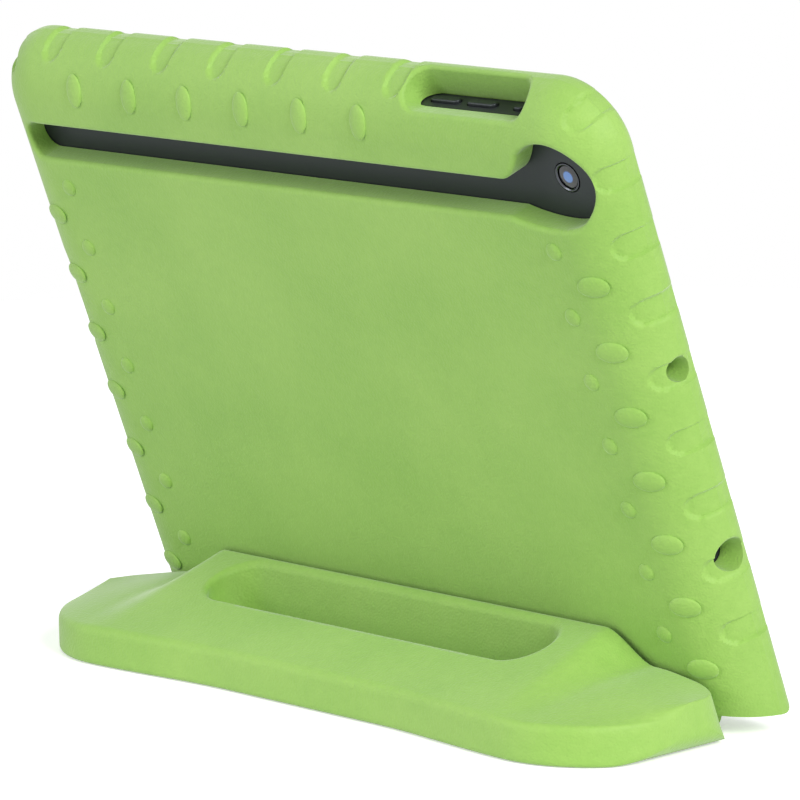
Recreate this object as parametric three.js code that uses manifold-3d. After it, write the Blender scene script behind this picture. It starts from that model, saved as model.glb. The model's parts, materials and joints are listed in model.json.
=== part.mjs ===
// Foam tablet case for children, leaning back on its folded handle, with a plain tablet inside.
// Millimetres, +Z up, +Y towards the back of the case, the tablet's screen facing -Y.
import * as THREE from 'three';
import { mergeVertices } from 'three/addons/utils/BufferGeometryUtils.js';
import Module from 'manifold-3d';

const wasm = await Module();
wasm.setup();

// Driving dimensions
const LEAN_DEG = 20.5; // how far the case leans back from upright
const FIT = 0.3; // gap between pieces that touch or slide
const TURNING_FIT = 0.4; // gap round the turning parts of the hinge
const BURIED = 1; // how far a cutter runs past the face it cuts
const SMALLEST_STEP = 0.02; // facets and steps under this are closed up
const SMALLEST_VOLUME = 0.1; // cubic millimetres; a smaller flake is no piece
const WELD = 1e-4; // points closer than this are one point

// Tablet that the case holds
const TABLET_LENGTH = 228;
const TABLET_HEIGHT = 150;
const TABLET_THICKNESS = 7.5;
const TABLET_CORNER = 9;
const TABLET_WALL = 1.5;
const GLASS_THICKNESS = 1.1;
const GLASS_RIM = 1.5;
const PANEL_THICKNESS = 2.4;
const BEZEL_SIDE = 9;

// Foam case
const SIDE_WALL = 9; // foam beyond the tablet's short edges
const TOP_WALL = 9.5;
const FOOT_HEIGHT = 35.2; // foam below the tablet
const BACK_WALL = 8;
const FRONT_LIP = 3.2;
const LIP_REACH = 6; // how far the front lip covers the tablet's face
const CASE_CORNER = 20;
const SHARPEST_CORNER = 0.5;
const FLANK_WIDTH = 18.5; // rounded edge, measured across the back
const FLANK_DEPTH = 14.5; // rounded edge, measured through the thickness

// Window across the back, with its camera end
const SLOT_HEIGHT = 10.9;
const SLOT_BELOW_TOP = 25.3; // case top to the slot's upper edge
const SLOT_END_INSET = 10;
const HUMP_RADIUS = 13;
const HUMP_BLEND = 17.5; // lens centre to where the slot starts to widen
const HUMP_DIP = 2.6; // how far the camera end hangs below the slot
const LENS_FROM_END = 10.1; // lens centre to the tablet's short edge
const LENS_FROM_TOP = 17.3;
const LENS_RING_RADIUS = 4.2;
const LENS_RING_WIDTH = 1;
const LENS_DEPTH = 0.9;

// Openings in the rim
const CUTOUT_FROM_END = 39; // volume opening's middle, from the tablet's end
const CUTOUT_LENGTH = 44;
const CUTOUT_END_RADIUS = 5.25;
const CUTOUT_BACK_DROP = 8.3; // rim's top down to the opening's lower edge on the back
const CUTOUT_BACK_DEPTH = 1.4; // back plane to the opening's wall at that edge
const CUTOUT_FLARE = 1;
const BUTTON_LENGTH = 10.6;
const BUTTON_WIDTH = 2.6;
const BUTTON_PITCH = 14;
const BUTTON_PROUD = 0.9;
const BUTTON_ROOT = 2.2;
const BUTTON_TRAVEL = 0.5;
const SWITCH_LENGTH = 3.4;
const SWITCH_TRAVEL = 1.6;
const SWITCH_OFFSET = 14; // switch middle, from the cut-out's middle
const MOUTH_STRAIGHT = 2; // straight walls beside the tablet before the flare
const MIC_RADIUS = 2.6;
const MIC_FLARE = 2;
const JACK_RADIUS = 3.6;
const JACK_FLARE = 2.8;
const JACK_FROM_BOTTOM = 17.5; // jack centre to the tablet's lower edge
const JACK_BORE = 1.75;
const JACK_LINER = 0.7;
const JACK_DEPTH = 7.5;
const JACK_END_WALL = 1;
const PORT_LENGTH = 28;
const PORT_WIDTH = 9;
const PORT_FLARE = 2;
const SOCKET_DEPTH = 7;
const SOCKET_LENGTH = 9;
const SOCKET_WIDTH = 3.2;
const SOCKET_WALL = 0.4;
const SOCKET_END_WALL = 1;

// Raised ovals and the shallow bands that wrap the rim
const SIDE_PITCH = 19.8;
const TOP_PITCH = 23.9;
const SIDE_ROWS = 7;
const FIRST_ROW_DROP = 9.1; // slot's lower edge to the first small oval
const SMALL_OVAL = { across: 2.7, along: 2.6, inset: 23.2 };
const LARGE_OVAL = { across: 5, along: 3.1, inset: 12.7 };
const OVAL_RISE = 0.8;
const BAND_WIDTH = 7.8;
const BAND_DEPTH = 0.6;
const BAND_INSET = 5.8; // band's round end to the case's outline

// Stand that folds out as the carrying handle
const STAND_HALF_LENGTH = 121;
const STAND_REACH = 57; // back edge at the middle, behind the case's foot
const LOBE_REACH = 4.5; // how much further the two ends reach
const LOBE_START = 30; // where the back edge starts to swell, from the middle
const LOBE_FULL = 90;
const STAND_BACK_HEIGHT = 11.5;
const TONGUE_HALF_LENGTH = 79;
const TONGUE_HEIGHT = 28.3;
const SHOULDER_HEIGHT = 17.5;
const SHOULDER_BLEND = 15;
const STAND_END_HEIGHT = 15;
const STAND_EDGE = 2; // how far back a rounded edge of the stand starts
const END_ROUND = 6; // how far from its ends the stand's underside starts to lift
const END_LIFT = 3.5;
const BACK_CORNER = 34;
const FRONT_CORNER = 13;
const HOLE_HALF_LENGTH = 68;
const HOLE_WIDTH = 19.2;
const HOLE_FROM_FRONT = 15.5; // hole's near side, behind the case's foot line
const HOLE_STRAIGHT = 9.5; // height where the hole starts to flare
const HOLE_FLARE = 1.2;

// Hinge between the case and the stand
const HINGE_HEIGHT = 6; // axis above the floor
const FOOT_LIFT = 5.7; // case's underside above the floor, which only the stand touches
const FOOT_ROUND = 4; // radius of the case's lower front edge
const TURN_ROOM = 3; // stand's underside starts this far behind the axis, to clear the case as it turns
const BARREL_ABOVE_FLOOR = 0.1;
const ROD_RADIUS = 2;
const BARREL_END_LENGTH = 4; // barrel beyond the case's knuckles
const KNUCKLE_LENGTH = 20;
const ROD_END_WALL = 2;

// Facets round the curves
const ROUND = 24;
const SMALL_ROUND = 16;
const HALF_ROUND = 6;
const CORNER_STEPS = 6;
const FLANK_STEPS = 7;
const FRONT_EDGE_STEPS = 3;
const SHOULDER_STEPS = 5;
const STAND_END_STEPS = 7;
const TOP_STEPS = 3; // strips from the front to the back of the stand's top
const OVAL_FACETS = [12, 6];

// Sizes that follow from those above
const lean = THREE.MathUtils.degToRad(LEAN_DEG);
const QUARTER = Math.PI / 2;
const HALF_LENGTH = TABLET_LENGTH / 2 + SIDE_WALL;
const CASE_THICKNESS = BACK_WALL + FIT + TABLET_THICKNESS + FIT + FRONT_LIP;
const CASE_TOP = FOOT_HEIGHT + TABLET_HEIGHT + TOP_WALL;
const CASE_BELOW = -CASE_THICKNESS * Math.tan(lean) - CASE_CORNER;
const TABLET_MIDDLE = FOOT_HEIGHT + TABLET_HEIGHT / 2;
const TABLET_TOP = FOOT_HEIGHT + TABLET_HEIGHT;
const TABLET_BACK = -(BACK_WALL + FIT);
const TABLET_FRONT = TABLET_BACK - TABLET_THICKNESS;
const TABLET_CORE = (TABLET_BACK + TABLET_FRONT) / 2;
const LENS_X = -(TABLET_LENGTH / 2 - LENS_FROM_END);
const LENS_Z = TABLET_TOP - LENS_FROM_TOP;
const SLOT_UPPER = CASE_TOP - SLOT_BELOW_TOP;
const SLOT_LOWER = SLOT_UPPER - SLOT_HEIGHT;
const CUTOUT_CENTRE = TABLET_LENGTH / 2 - CUTOUT_FROM_END;
const SWITCH_X = -(CUTOUT_CENTRE + SWITCH_OFFSET);
const JACK_Z = FOOT_HEIGHT + JACK_FROM_BOTTOM;
const BARREL_RADIUS = HINGE_HEIGHT - BARREL_ABOVE_FLOOR;
const NOTCH_RADIUS = BARREL_RADIUS + TURNING_FIT;
const BARREL_END = STAND_HALF_LENGTH - FRONT_CORNER;
const KNUCKLE_OUTER = BARREL_END - BARREL_END_LENGTH;
const KNUCKLE_INNER = KNUCKLE_OUTER - KNUCKLE_LENGTH;
const AXIS_SLOPE = HINGE_HEIGHT / Math.cos(lean); // hinge axis in the case's frame, up its back
const AXIS_Y = HINGE_HEIGHT * Math.tan(lean); // hinge axis in the floor frame, behind the foot line

// Colours and finishes
const foam = { color: 0x8fc64f, roughness: 0.72, metalness: 0 };
const slate = { color: 0x3a3d42, roughness: 0.45, metalness: 0.6 };
const blackGlass = { color: 0x0b0c0e, roughness: 0.12, metalness: 0 };
const steel = { color: 0xa8abae, roughness: 0.35, metalness: 1 };
const blackPlastic = { color: 0x1b1c1e, roughness: 0.5, metalness: 0 };

// Solids for cutting and joining
function toSolid(geometry) {
  const bare = geometry.clone();
  bare.deleteAttribute('normal');
  bare.deleteAttribute('uv');
  const merged = mergeVertices(bare, WELD);
  return new wasm.Manifold(new wasm.Mesh({
    numProp: 3,
    vertProperties: new Float32Array(merged.attributes.position.array),
    triVerts: new Uint32Array(merged.index.array),
  }));
}

function toGeometry(solid) {
  const mesh = solid.getMesh();
  const geometry = new THREE.BufferGeometry();
  geometry.setAttribute('position', new THREE.BufferAttribute(new Float32Array(mesh.vertProperties), 3));
  geometry.setIndex(new THREE.BufferAttribute(new Uint32Array(mesh.triVerts), 1));
  geometry.computeVertexNormals();
  return geometry;
}

function cutAll(solid, cutters) {
  return cutters.reduce((rest, cutter) => rest.subtract(cutter), solid);
}

function joinAll(solids) {
  return solids.reduce((whole, solid) => whole.add(solid));
}

// Cuts along a facet can leave flakes of no volume; only real pieces stay.
function withoutFlakes(solid) {
  return joinAll(solid.decompose().filter((part) => part.volume() > SMALLEST_VOLUME));
}

// Closed surface through a row of rings with equal point counts; flat caps at both ends.
function ringGeometry(rings, flatten) {
  const count = rings[0].length;
  const points = rings.flat();
  const index = [];
  for (let ring = 0; ring + 1 < rings.length; ring += 1) {
    for (let k = 0; k < count; k += 1) {
      const next = (k + 1) % count;
      const a = ring * count + k;
      const b = ring * count + next;
      index.push(a, b, b + count, a, b + count, a + count);
    }
  }
  const cap = (ring, flip) => {
    const outline = rings[ring].map(flatten);
    for (const [a, b, c] of THREE.ShapeUtils.triangulateShape(outline, [])) {
      const face = flip ? [a, c, b] : [a, b, c];
      index.push(...face.map((k) => k + ring * count));
    }
  };
  const turnsLeft = THREE.ShapeUtils.area(rings[0].map(flatten)) > 0;
  cap(0, turnsLeft);
  cap(rings.length - 1, !turnsLeft);
  const geometry = new THREE.BufferGeometry();
  const position = new Float32Array(points.flatMap((p) => [p.x, p.y, p.z]));
  geometry.setAttribute('position', new THREE.BufferAttribute(position, 3));
  geometry.setIndex(index);
  return geometry;
}

function ringSolid(rings, flatten) {
  const solid = toSolid(ringGeometry(rings, flatten));
  if (solid.volume() > 0) return solid;
  return toSolid(ringGeometry(rings.slice().reverse(), flatten));
}

const flatXZ = (p) => new THREE.Vector2(p.x, p.z);
const flatXY = (p) => new THREE.Vector2(p.x, p.y);
const flatYZ = (p) => new THREE.Vector2(p.y, p.z);

function block(x0, x1, y0, y1, z0, z1) {
  const geometry = new THREE.BoxGeometry(x1 - x0, y1 - y0, z1 - z0);
  geometry.translate((x0 + x1) / 2, (y0 + y1) / 2, (z0 + z1) / 2);
  return toSolid(geometry);
}

// Shape drawn in X and Z, given thickness along Y from low to high
function plate(shape, low, high, curveSegments = CORNER_STEPS) {
  const geometry = new THREE.ExtrudeGeometry(shape, { depth: high - low, bevelEnabled: false, curveSegments });
  geometry.rotateX(QUARTER);
  geometry.translate(0, high, 0);
  return toSolid(geometry);
}

// Rounded rectangle round the tablet's middle, larger or smaller than the tablet by a margin
function tabletOutline(margin, radius) {
  const x = TABLET_LENGTH / 2 + margin;
  const low = TABLET_MIDDLE - TABLET_HEIGHT / 2 - margin;
  const high = TABLET_MIDDLE + TABLET_HEIGHT / 2 + margin;
  const shape = new THREE.Shape();
  shape.moveTo(-x + radius, low);
  shape.absarc(x - radius, low + radius, radius, -QUARTER, 0);
  shape.absarc(x - radius, high - radius, radius, 0, QUARTER);
  shape.absarc(-x + radius, high - radius, radius, QUARTER, Math.PI);
  shape.absarc(-x + radius, low + radius, radius, Math.PI, Math.PI + QUARTER);
  return shape;
}

function rodAlongX(radius, x0, x1, y, z, facets = ROUND) {
  const geometry = new THREE.CylinderGeometry(radius, radius, x1 - x0, facets);
  geometry.rotateZ(QUARTER);
  geometry.translate((x0 + x1) / 2, y, z);
  return toSolid(geometry);
}

// Short round piece at the lens, along Y
function lensRod(radius, y0, y1) {
  const geometry = new THREE.CylinderGeometry(radius, radius, y1 - y0, ROUND);
  geometry.translate(LENS_X, (y0 + y1) / 2, LENS_Z);
  return toSolid(geometry);
}

function stadium(length, width) {
  const radius = width / 2;
  const straight = length / 2 - radius;
  const shape = new THREE.Shape();
  shape.absarc(straight, 0, radius, -QUARTER, QUARTER);
  shape.absarc(-straight, 0, radius, QUARTER, Math.PI + QUARTER);
  return shape;
}

// Points of a round-ended slot, given by its half length between the end centres
function stadiumPoints(straight, radius, toPoint) {
  const points = [];
  for (const [end, start] of [[1, -QUARTER], [-1, QUARTER]]) {
    for (let k = 0; k <= HALF_ROUND; k += 1) {
      const angle = start + (k / HALF_ROUND) * Math.PI;
      points.push(toPoint(end * straight + radius * Math.cos(angle), radius * Math.sin(angle)));
    }
  }
  return points;
}

// Outline of the case at one depth, set in from the widest outline
function caseRing(inset, depth) {
  const radius = Math.max(CASE_CORNER - inset, SHARPEST_CORNER);
  const x = HALF_LENGTH - inset - radius;
  const z = CASE_TOP - inset - radius;
  const ring = [new THREE.Vector3(HALF_LENGTH - inset, depth, CASE_BELOW)];
  for (const [side, start] of [[1, 0], [-1, QUARTER]]) {
    for (let k = 0; k <= CORNER_STEPS; k += 1) {
      const angle = start + (k / CORNER_STEPS) * QUARTER;
      ring.push(new THREE.Vector3(side * x + radius * Math.cos(angle), depth, z + radius * Math.sin(angle)));
    }
  }
  ring.push(new THREE.Vector3(-HALF_LENGTH + inset, depth, CASE_BELOW));
  return ring;
}

// Full outside of the case: flat back, broad rounded flank and a tighter front edge
function caseOutside(skin) {
  const rings = [];
  for (let k = 0; k <= FLANK_STEPS; k += 1) {
    const angle = (k / FLANK_STEPS) * QUARTER;
    const inset = FLANK_WIDTH * (1 - Math.sin(angle)) + skin;
    rings.push(caseRing(inset, -skin - (FLANK_DEPTH - skin) * (1 - Math.cos(angle))));
  }
  const frontRadius = CASE_THICKNESS - FLANK_DEPTH - skin;
  for (let k = 1; k <= FRONT_EDGE_STEPS; k += 1) {
    const angle = (k / FRONT_EDGE_STEPS) * QUARTER;
    const inset = frontRadius * (1 - Math.cos(angle)) + skin;
    rings.push(caseRing(inset, -FLANK_DEPTH - frontRadius * Math.sin(angle)));
  }
  return ringSolid(rings, flatXZ);
}

// Angle round the flank's quarter ellipse, at a distance inside the outline
function flankAngle(inside) {
  return Math.asin(Math.max(FLANK_WIDTH - inside, 0) / FLANK_WIDTH);
}

// Flattened dome that lies on the flank; its lower half is inside the foam
function oval(x, z, acrossX, acrossZ, inside, outward) {
  const geometry = new THREE.SphereGeometry(1, ...OVAL_FACETS);
  geometry.rotateX(QUARTER);
  geometry.scale(acrossX, OVAL_RISE, acrossZ);
  const angle = flankAngle(inside);
  const slope = Math.atan(Math.tan(angle) * (FLANK_DEPTH / FLANK_WIDTH));
  const axis = new THREE.Vector3(outward.z, 0, -outward.x);
  geometry.applyMatrix4(new THREE.Matrix4().makeRotationAxis(axis, slope));
  geometry.translate(x, -FLANK_DEPTH * (1 - Math.cos(angle)), z);
  return toSolid(geometry);
}

function rowHeights() {
  const highest = SLOT_LOWER - FIRST_ROW_DROP;
  return Array.from({ length: SIDE_ROWS }, (_, row) => highest - row * SIDE_PITCH);
}

function topColumns() {
  const half = Math.floor((HALF_LENGTH - CASE_CORNER) / TOP_PITCH);
  return Array.from({ length: 2 * half + 1 }, (_, k) => (k - half) * TOP_PITCH);
}

// A column stays if it is clear of the volume opening
function clearOfCutout(x, width) {
  return Math.abs(x + CUTOUT_CENTRE) > CUTOUT_LENGTH / 2 + width;
}

function sideOvals(side) {
  const outward = new THREE.Vector3(side, 0, 0);
  const small = side * (HALF_LENGTH - SMALL_OVAL.inset);
  const large = side * (HALF_LENGTH - LARGE_OVAL.inset);
  return rowHeights().flatMap((z) => [
    oval(small, z, SMALL_OVAL.across, SMALL_OVAL.along, SMALL_OVAL.inset, outward),
    oval(large, z - SIDE_PITCH / 2, LARGE_OVAL.across, LARGE_OVAL.along, LARGE_OVAL.inset, outward),
  ]);
}

function topOvals() {
  const up = new THREE.Vector3(0, 0, 1);
  const z = CASE_TOP - LARGE_OVAL.inset;
  return topColumns()
    .map((column) => column + TOP_PITCH / 2)
    .filter((x) => clearOfCutout(x, LARGE_OVAL.along) && x < HALF_LENGTH - CASE_CORNER)
    .map((x) => oval(x, z, LARGE_OVAL.along, LARGE_OVAL.across, LARGE_OVAL.inset, up));
}

// Round-ended strip in X and Z, from its inner end outwards past the case's outline
function bandRegion(x, z, outward) {
  const shape = new THREE.Shape();
  const radius = BAND_WIDTH / 2;
  const reach = BAND_INSET + BURIED;
  shape.absarc(0, radius, radius, Math.PI, 2 * Math.PI);
  shape.lineTo(radius, reach);
  shape.lineTo(-radius, reach);
  const turn = THREE.MathUtils.radToDeg(Math.atan2(outward.x, outward.z));
  return plate(shape, -FLANK_DEPTH + BURIED, BURIED).rotate([0, turn, 0]).translate([x, 0, z]);
}

function bandRegions() {
  const corner = CASE_CORNER - (CASE_CORNER - BAND_INSET) * Math.SQRT1_2;
  const onSides = [-1, 1].flatMap((side) => [
    ...rowHeights().slice(1).map((z) => bandRegion(side * (HALF_LENGTH - BAND_INSET), z, { x: side, z: 0 })),
    bandRegion(side * (HALF_LENGTH - corner), CASE_TOP - corner, { x: side, z: 1 }),
  ]);
  const onTop = topColumns()
    .filter((x) => clearOfCutout(x, BAND_WIDTH / 2))
    .map((x) => bandRegion(x, CASE_TOP - BAND_INSET, { x: 0, z: 1 }));
  return [...onSides, ...onTop];
}

// Outline of the slot, which widens round the camera at one end
function windowShape() {
  const shape = new THREE.Shape();
  const endRadius = SLOT_HEIGHT / 2;
  const farEnd = HALF_LENGTH - SLOT_END_INSET - endRadius;
  const valley = LENS_X + HUMP_BLEND;
  const dip = SLOT_LOWER - HUMP_DIP;
  const shoulder = QUARTER / 2;
  shape.moveTo(valley, SLOT_LOWER);
  shape.lineTo(farEnd, SLOT_LOWER);
  shape.absarc(farEnd, SLOT_LOWER + endRadius, endRadius, -QUARTER, QUARTER);
  shape.lineTo(valley, SLOT_UPPER);
  shape.quadraticCurveTo(
    LENS_X + HUMP_RADIUS,
    SLOT_UPPER,
    LENS_X + HUMP_RADIUS * Math.cos(shoulder),
    LENS_Z + HUMP_RADIUS * Math.sin(shoulder),
  );
  shape.absarc(LENS_X, LENS_Z, HUMP_RADIUS, shoulder, shoulder + Math.PI);
  shape.quadraticCurveTo(LENS_X - HUMP_RADIUS / 2, dip, LENS_X, dip);
  shape.quadraticCurveTo((LENS_X + valley) / 2, dip, valley, SLOT_LOWER);
  return shape;
}

// Round or stretched opening through the rim along X, wider at its mouth
function sideOpening(side, z, straight, radius, flare) {
  const edge = TABLET_LENGTH / 2;
  const ring = (x, grow) => stadiumPoints(straight, radius + grow, (along, across) => (
    new THREE.Vector3(side * x, TABLET_CORE + across, z + along)
  ));
  const rings = [ring(edge - BURIED, 0), ring(edge + MOUTH_STRAIGHT, 0), ring(HALF_LENGTH + BURIED, flare)];
  return ringSolid(rings, flatYZ);
}

// Volume opening, from the tablet's edge out through the rim. Its back wall leans far back.
function topOpening() {
  const straight = CUTOUT_LENGTH / 2 - CUTOUT_END_RADIUS;
  const ring = (front, back, grow) => stadiumPoints(straight, CUTOUT_END_RADIUS, (along, across) => {
    const place = front.clone().lerp(back, (1 + across / CUTOUT_END_RADIUS) / 2);
    return new THREE.Vector3(-CUTOUT_CENTRE + along * (1 + (2 * grow) / CUTOUT_LENGTH), place.x, place.y);
  });
  const throat = [new THREE.Vector2(TABLET_FRONT, TABLET_TOP), new THREE.Vector2(TABLET_BACK, TABLET_TOP)];
  const mouth = [
    new THREE.Vector2(TABLET_CORE - CUTOUT_FLARE, CASE_TOP),
    new THREE.Vector2(-CUTOUT_BACK_DEPTH, CASE_TOP - CUTOUT_BACK_DROP),
  ];
  const beyond = throat.map((start, k) => start.clone().lerp(mouth[k], 2));
  const below = throat.map((start) => start.clone().setY(TABLET_TOP - BURIED));
  return ringSolid([ring(...below, 0), ring(...throat, 0), ring(...beyond, 2 * CUTOUT_FLARE)], flatXY);
}

// Room in the case's foot for the stand's barrel
function hingeNotch() {
  const end = BARREL_END + TURNING_FIT;
  const spans = [[-end, -KNUCKLE_OUTER], [-KNUCKLE_INNER, KNUCKLE_INNER], [KNUCKLE_OUTER, end]];
  return joinAll([
    ...spans.map(([x0, x1]) => rodAlongX(NOTCH_RADIUS, x0, x1, 0, AXIS_SLOPE)),
    block(-end, end, -NOTCH_RADIUS, BURIED, CASE_BELOW, AXIS_SLOPE),
  ]);
}

// What lies below the case's lifted, front-rounded underside
function belowFoot() {
  const far = 2 * CASE_TOP;
  const corner = -CASE_THICKNESS / Math.cos(lean) + FOOT_LIFT * Math.tan(lean);
  const middle = corner + FOOT_ROUND / Math.tan((QUARTER - lean) / 2);
  const profile = [[far, FOOT_LIFT]];
  for (let k = 0; k <= HALF_ROUND; k += 1) {
    const angle = -QUARTER - (k / HALF_ROUND) * (QUARTER + lean);
    profile.push([middle + FOOT_ROUND * Math.cos(angle), FOOT_LIFT + FOOT_ROUND + FOOT_ROUND * Math.sin(angle)]);
  }
  profile.push([-far, profile[HALF_ROUND + 1][1]], [-far, -far], [far, -far]);
  const ring = (x) => profile.map(([y, z]) => new THREE.Vector3(x, y, z));
  return ringSolid([ring(-2 * HALF_LENGTH), ring(2 * HALF_LENGTH)], flatYZ).rotate([LEAN_DEG, 0, 0]);
}

function foamCase() {
  const outside = caseOutside(0);
  const skin = outside.subtract(caseOutside(BAND_DEPTH));
  const grooves = skin.intersect(joinAll(bandRegions()));
  const body = joinAll([outside.subtract(grooves), ...sideOvals(-1), ...sideOvals(1), ...topOvals()]);
  const knuckles = [-KNUCKLE_OUTER, KNUCKLE_INNER].map((x) => (
    rodAlongX(BARREL_RADIUS, x + TURNING_FIT, x + KNUCKLE_LENGTH - TURNING_FIT, 0, AXIS_SLOPE)
  ));
  const rodEnd = KNUCKLE_OUTER - ROD_END_WALL;
  const notched = joinAll([body.subtract(belowFoot()).subtract(hingeNotch()), ...knuckles]);
  const whole = cutAll(notched, [
    plate(tabletOutline(FIT, TABLET_CORNER + FIT), TABLET_FRONT - FIT, -BACK_WALL),
    plate(tabletOutline(-LIP_REACH, TABLET_CORNER), -CASE_THICKNESS - BURIED, TABLET_FRONT),
    plate(windowShape(), -BACK_WALL - BURIED, BURIED, 2 * HALF_ROUND),
    topOpening(),
    sideOpening(-1, TABLET_MIDDLE, 0, MIC_RADIUS, MIC_FLARE),
    sideOpening(-1, JACK_Z, 0, JACK_RADIUS, JACK_FLARE),
    sideOpening(1, TABLET_MIDDLE, (PORT_LENGTH - PORT_WIDTH) / 2, PORT_WIDTH / 2, PORT_FLARE),
    rodAlongX(ROD_RADIUS + FIT, -rodEnd, rodEnd, 0, AXIS_SLOPE, SMALL_ROUND),
  ]);
  return withoutFlakes(whole.simplify(SMALLEST_STEP));
}

// Stand, in the floor frame: X along it, Y behind the case's foot line, Z up
function smooth(value, from, to) {
  const t = THREE.MathUtils.clamp((value - from) / (to - from), 0, 1);
  return t * t * (3 - 2 * t);
}

function frontHeight(x) {
  const drop = smooth(x, TONGUE_HALF_LENGTH, TONGUE_HALF_LENGTH + SHOULDER_BLEND);
  const end = smooth(x, STAND_HALF_LENGTH - FRONT_CORNER, STAND_HALF_LENGTH);
  return TONGUE_HEIGHT - (TONGUE_HEIGHT - SHOULDER_HEIGHT) * drop - (SHOULDER_HEIGHT - STAND_END_HEIGHT) * end;
}

function cornerSetback(x, radius) {
  const past = Math.max(x - (STAND_HALF_LENGTH - radius), 0);
  return radius - Math.sqrt(Math.max(radius * radius - past * past, 0));
}

function backReach(x) {
  return STAND_REACH + LOBE_REACH * smooth(x, LOBE_START, LOBE_FULL) - cornerSetback(x, BACK_CORNER);
}

function endLift(x) {
  const past = Math.max(x - (STAND_HALF_LENGTH - END_ROUND), 0) / END_ROUND;
  return END_LIFT * (1 - Math.sqrt(1 - past * past));
}

// Corner of a section, turned into a short curve between its two edges
function softCorner(before, corner, after) {
  const start = corner.clone().addScaledVector(before.clone().sub(corner).normalize(), STAND_EDGE);
  const end = corner.clone().addScaledVector(after.clone().sub(corner).normalize(), STAND_EDGE);
  return new THREE.QuadraticBezierCurve(start, corner, end).getPoints(2);
}

function standSection(x) {
  const away = Math.abs(x);
  const near = cornerSetback(away, FRONT_CORNER) + FIT / Math.cos(lean);
  const underside = endLift(away);
  const onFace = (z) => new THREE.Vector2(near + z * Math.tan(lean), z);
  const floorFront = new THREE.Vector2(Math.max(near, AXIS_Y + TURN_ROOM), underside);
  const topFront = onFace(frontHeight(away));
  const topBack = new THREE.Vector2(backReach(away), STAND_BACK_HEIGHT);
  const floorBack = new THREE.Vector2(topBack.x, underside);
  const front = softCorner(onFace(HINGE_HEIGHT), topFront, topBack);
  const back = softCorner(topFront, topBack, floorBack);
  const between = [];
  for (let k = 1; k < TOP_STEPS; k += 1) {
    between.push(front[2].clone().lerp(back[0], k / TOP_STEPS));
  }
  const section = [
    floorFront,
    onFace(HINGE_HEIGHT),
    ...front,
    ...between,
    ...back,
    ...softCorner(topBack, floorBack, floorFront),
  ];
  return section.map((point) => new THREE.Vector3(x, point.x, point.y));
}

// Places along the stand where its section is drawn, closer together where its shape turns
function standStations() {
  const shoulderEnd = TONGUE_HALF_LENGTH + SHOULDER_BLEND;
  const half = [0, TONGUE_HALF_LENGTH / 3, (2 * TONGUE_HALF_LENGTH) / 3];
  for (let k = 0; k <= SHOULDER_STEPS; k += 1) {
    half.push(TONGUE_HALF_LENGTH + (k / SHOULDER_STEPS) * SHOULDER_BLEND);
  }
  for (let k = 1; k <= STAND_END_STEPS; k += 1) {
    half.push(shoulderEnd + Math.sin((k / STAND_END_STEPS) * QUARTER) * (STAND_HALF_LENGTH - shoulderEnd));
  }
  return [...half.slice(1).reverse().map((x) => -x), ...half];
}

function fingerHole() {
  const radius = HOLE_WIDTH / 2;
  const ring = (z, grow) => stadiumPoints(HOLE_HALF_LENGTH - radius, radius + grow, (along, across) => (
    new THREE.Vector3(along, HOLE_FROM_FRONT + radius + across, z)
  ));
  return ringSolid([ring(-BURIED, 0), ring(HOLE_STRAIGHT, 0), ring(TONGUE_HEIGHT + BURIED, HOLE_FLARE)], flatXY);
}

function standHandle() {
  const slab = ringSolid(standStations().map(standSection), flatYZ);
  const hollows = [-KNUCKLE_OUTER, KNUCKLE_INNER].map((x) => (
    rodAlongX(NOTCH_RADIUS, x, x + KNUCKLE_LENGTH, AXIS_Y, HINGE_HEIGHT)
  ));
  const bore = rodAlongX(ROD_RADIUS + FIT, -KNUCKLE_INNER - BURIED, KNUCKLE_INNER + BURIED, AXIS_Y,
    HINGE_HEIGHT, SMALL_ROUND);
  const barrel = rodAlongX(BARREL_RADIUS, -BARREL_END, BARREL_END, AXIS_Y, HINGE_HEIGHT);
  return cutAll(slab.add(barrel), [...hollows, fingerHole(), bore]).simplify(SMALLEST_STEP);
}

function hingeRod() {
  const end = KNUCKLE_OUTER - ROD_END_WALL - FIT;
  return rodAlongX(ROD_RADIUS, -end, end, AXIS_Y, HINGE_HEIGHT, SMALL_ROUND);
}

// Tablet pieces, in the case's leaning frame. Stadium-shaped key, standing up along Z.
function keyShape(x, length, width, z0, z1) {
  const geometry = new THREE.ExtrudeGeometry(stadium(length, width), {
    depth: z1 - z0,
    bevelEnabled: false,
    curveSegments: HALF_ROUND,
  });
  geometry.translate(x, TABLET_CORE, z0);
  return toSolid(geometry);
}

// Stretched round section along X for the charging socket
function socketShape(x0, x1, grow) {
  const geometry = new THREE.ExtrudeGeometry(stadium(SOCKET_LENGTH + 2 * grow, SOCKET_WIDTH + 2 * grow), {
    depth: x1 - x0,
    bevelEnabled: false,
    curveSegments: HALF_ROUND,
  });
  geometry.rotateY(QUARTER);
  geometry.translate(x0, TABLET_CORE, TABLET_MIDDLE);
  return toSolid(geometry);
}

// The two volume keys, as their middles along X; volume up is nearer the corner
const VOLUME_UP_X = -CUTOUT_CENTRE;
const VOLUME_DOWN_X = VOLUME_UP_X + BUTTON_PITCH;

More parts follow.
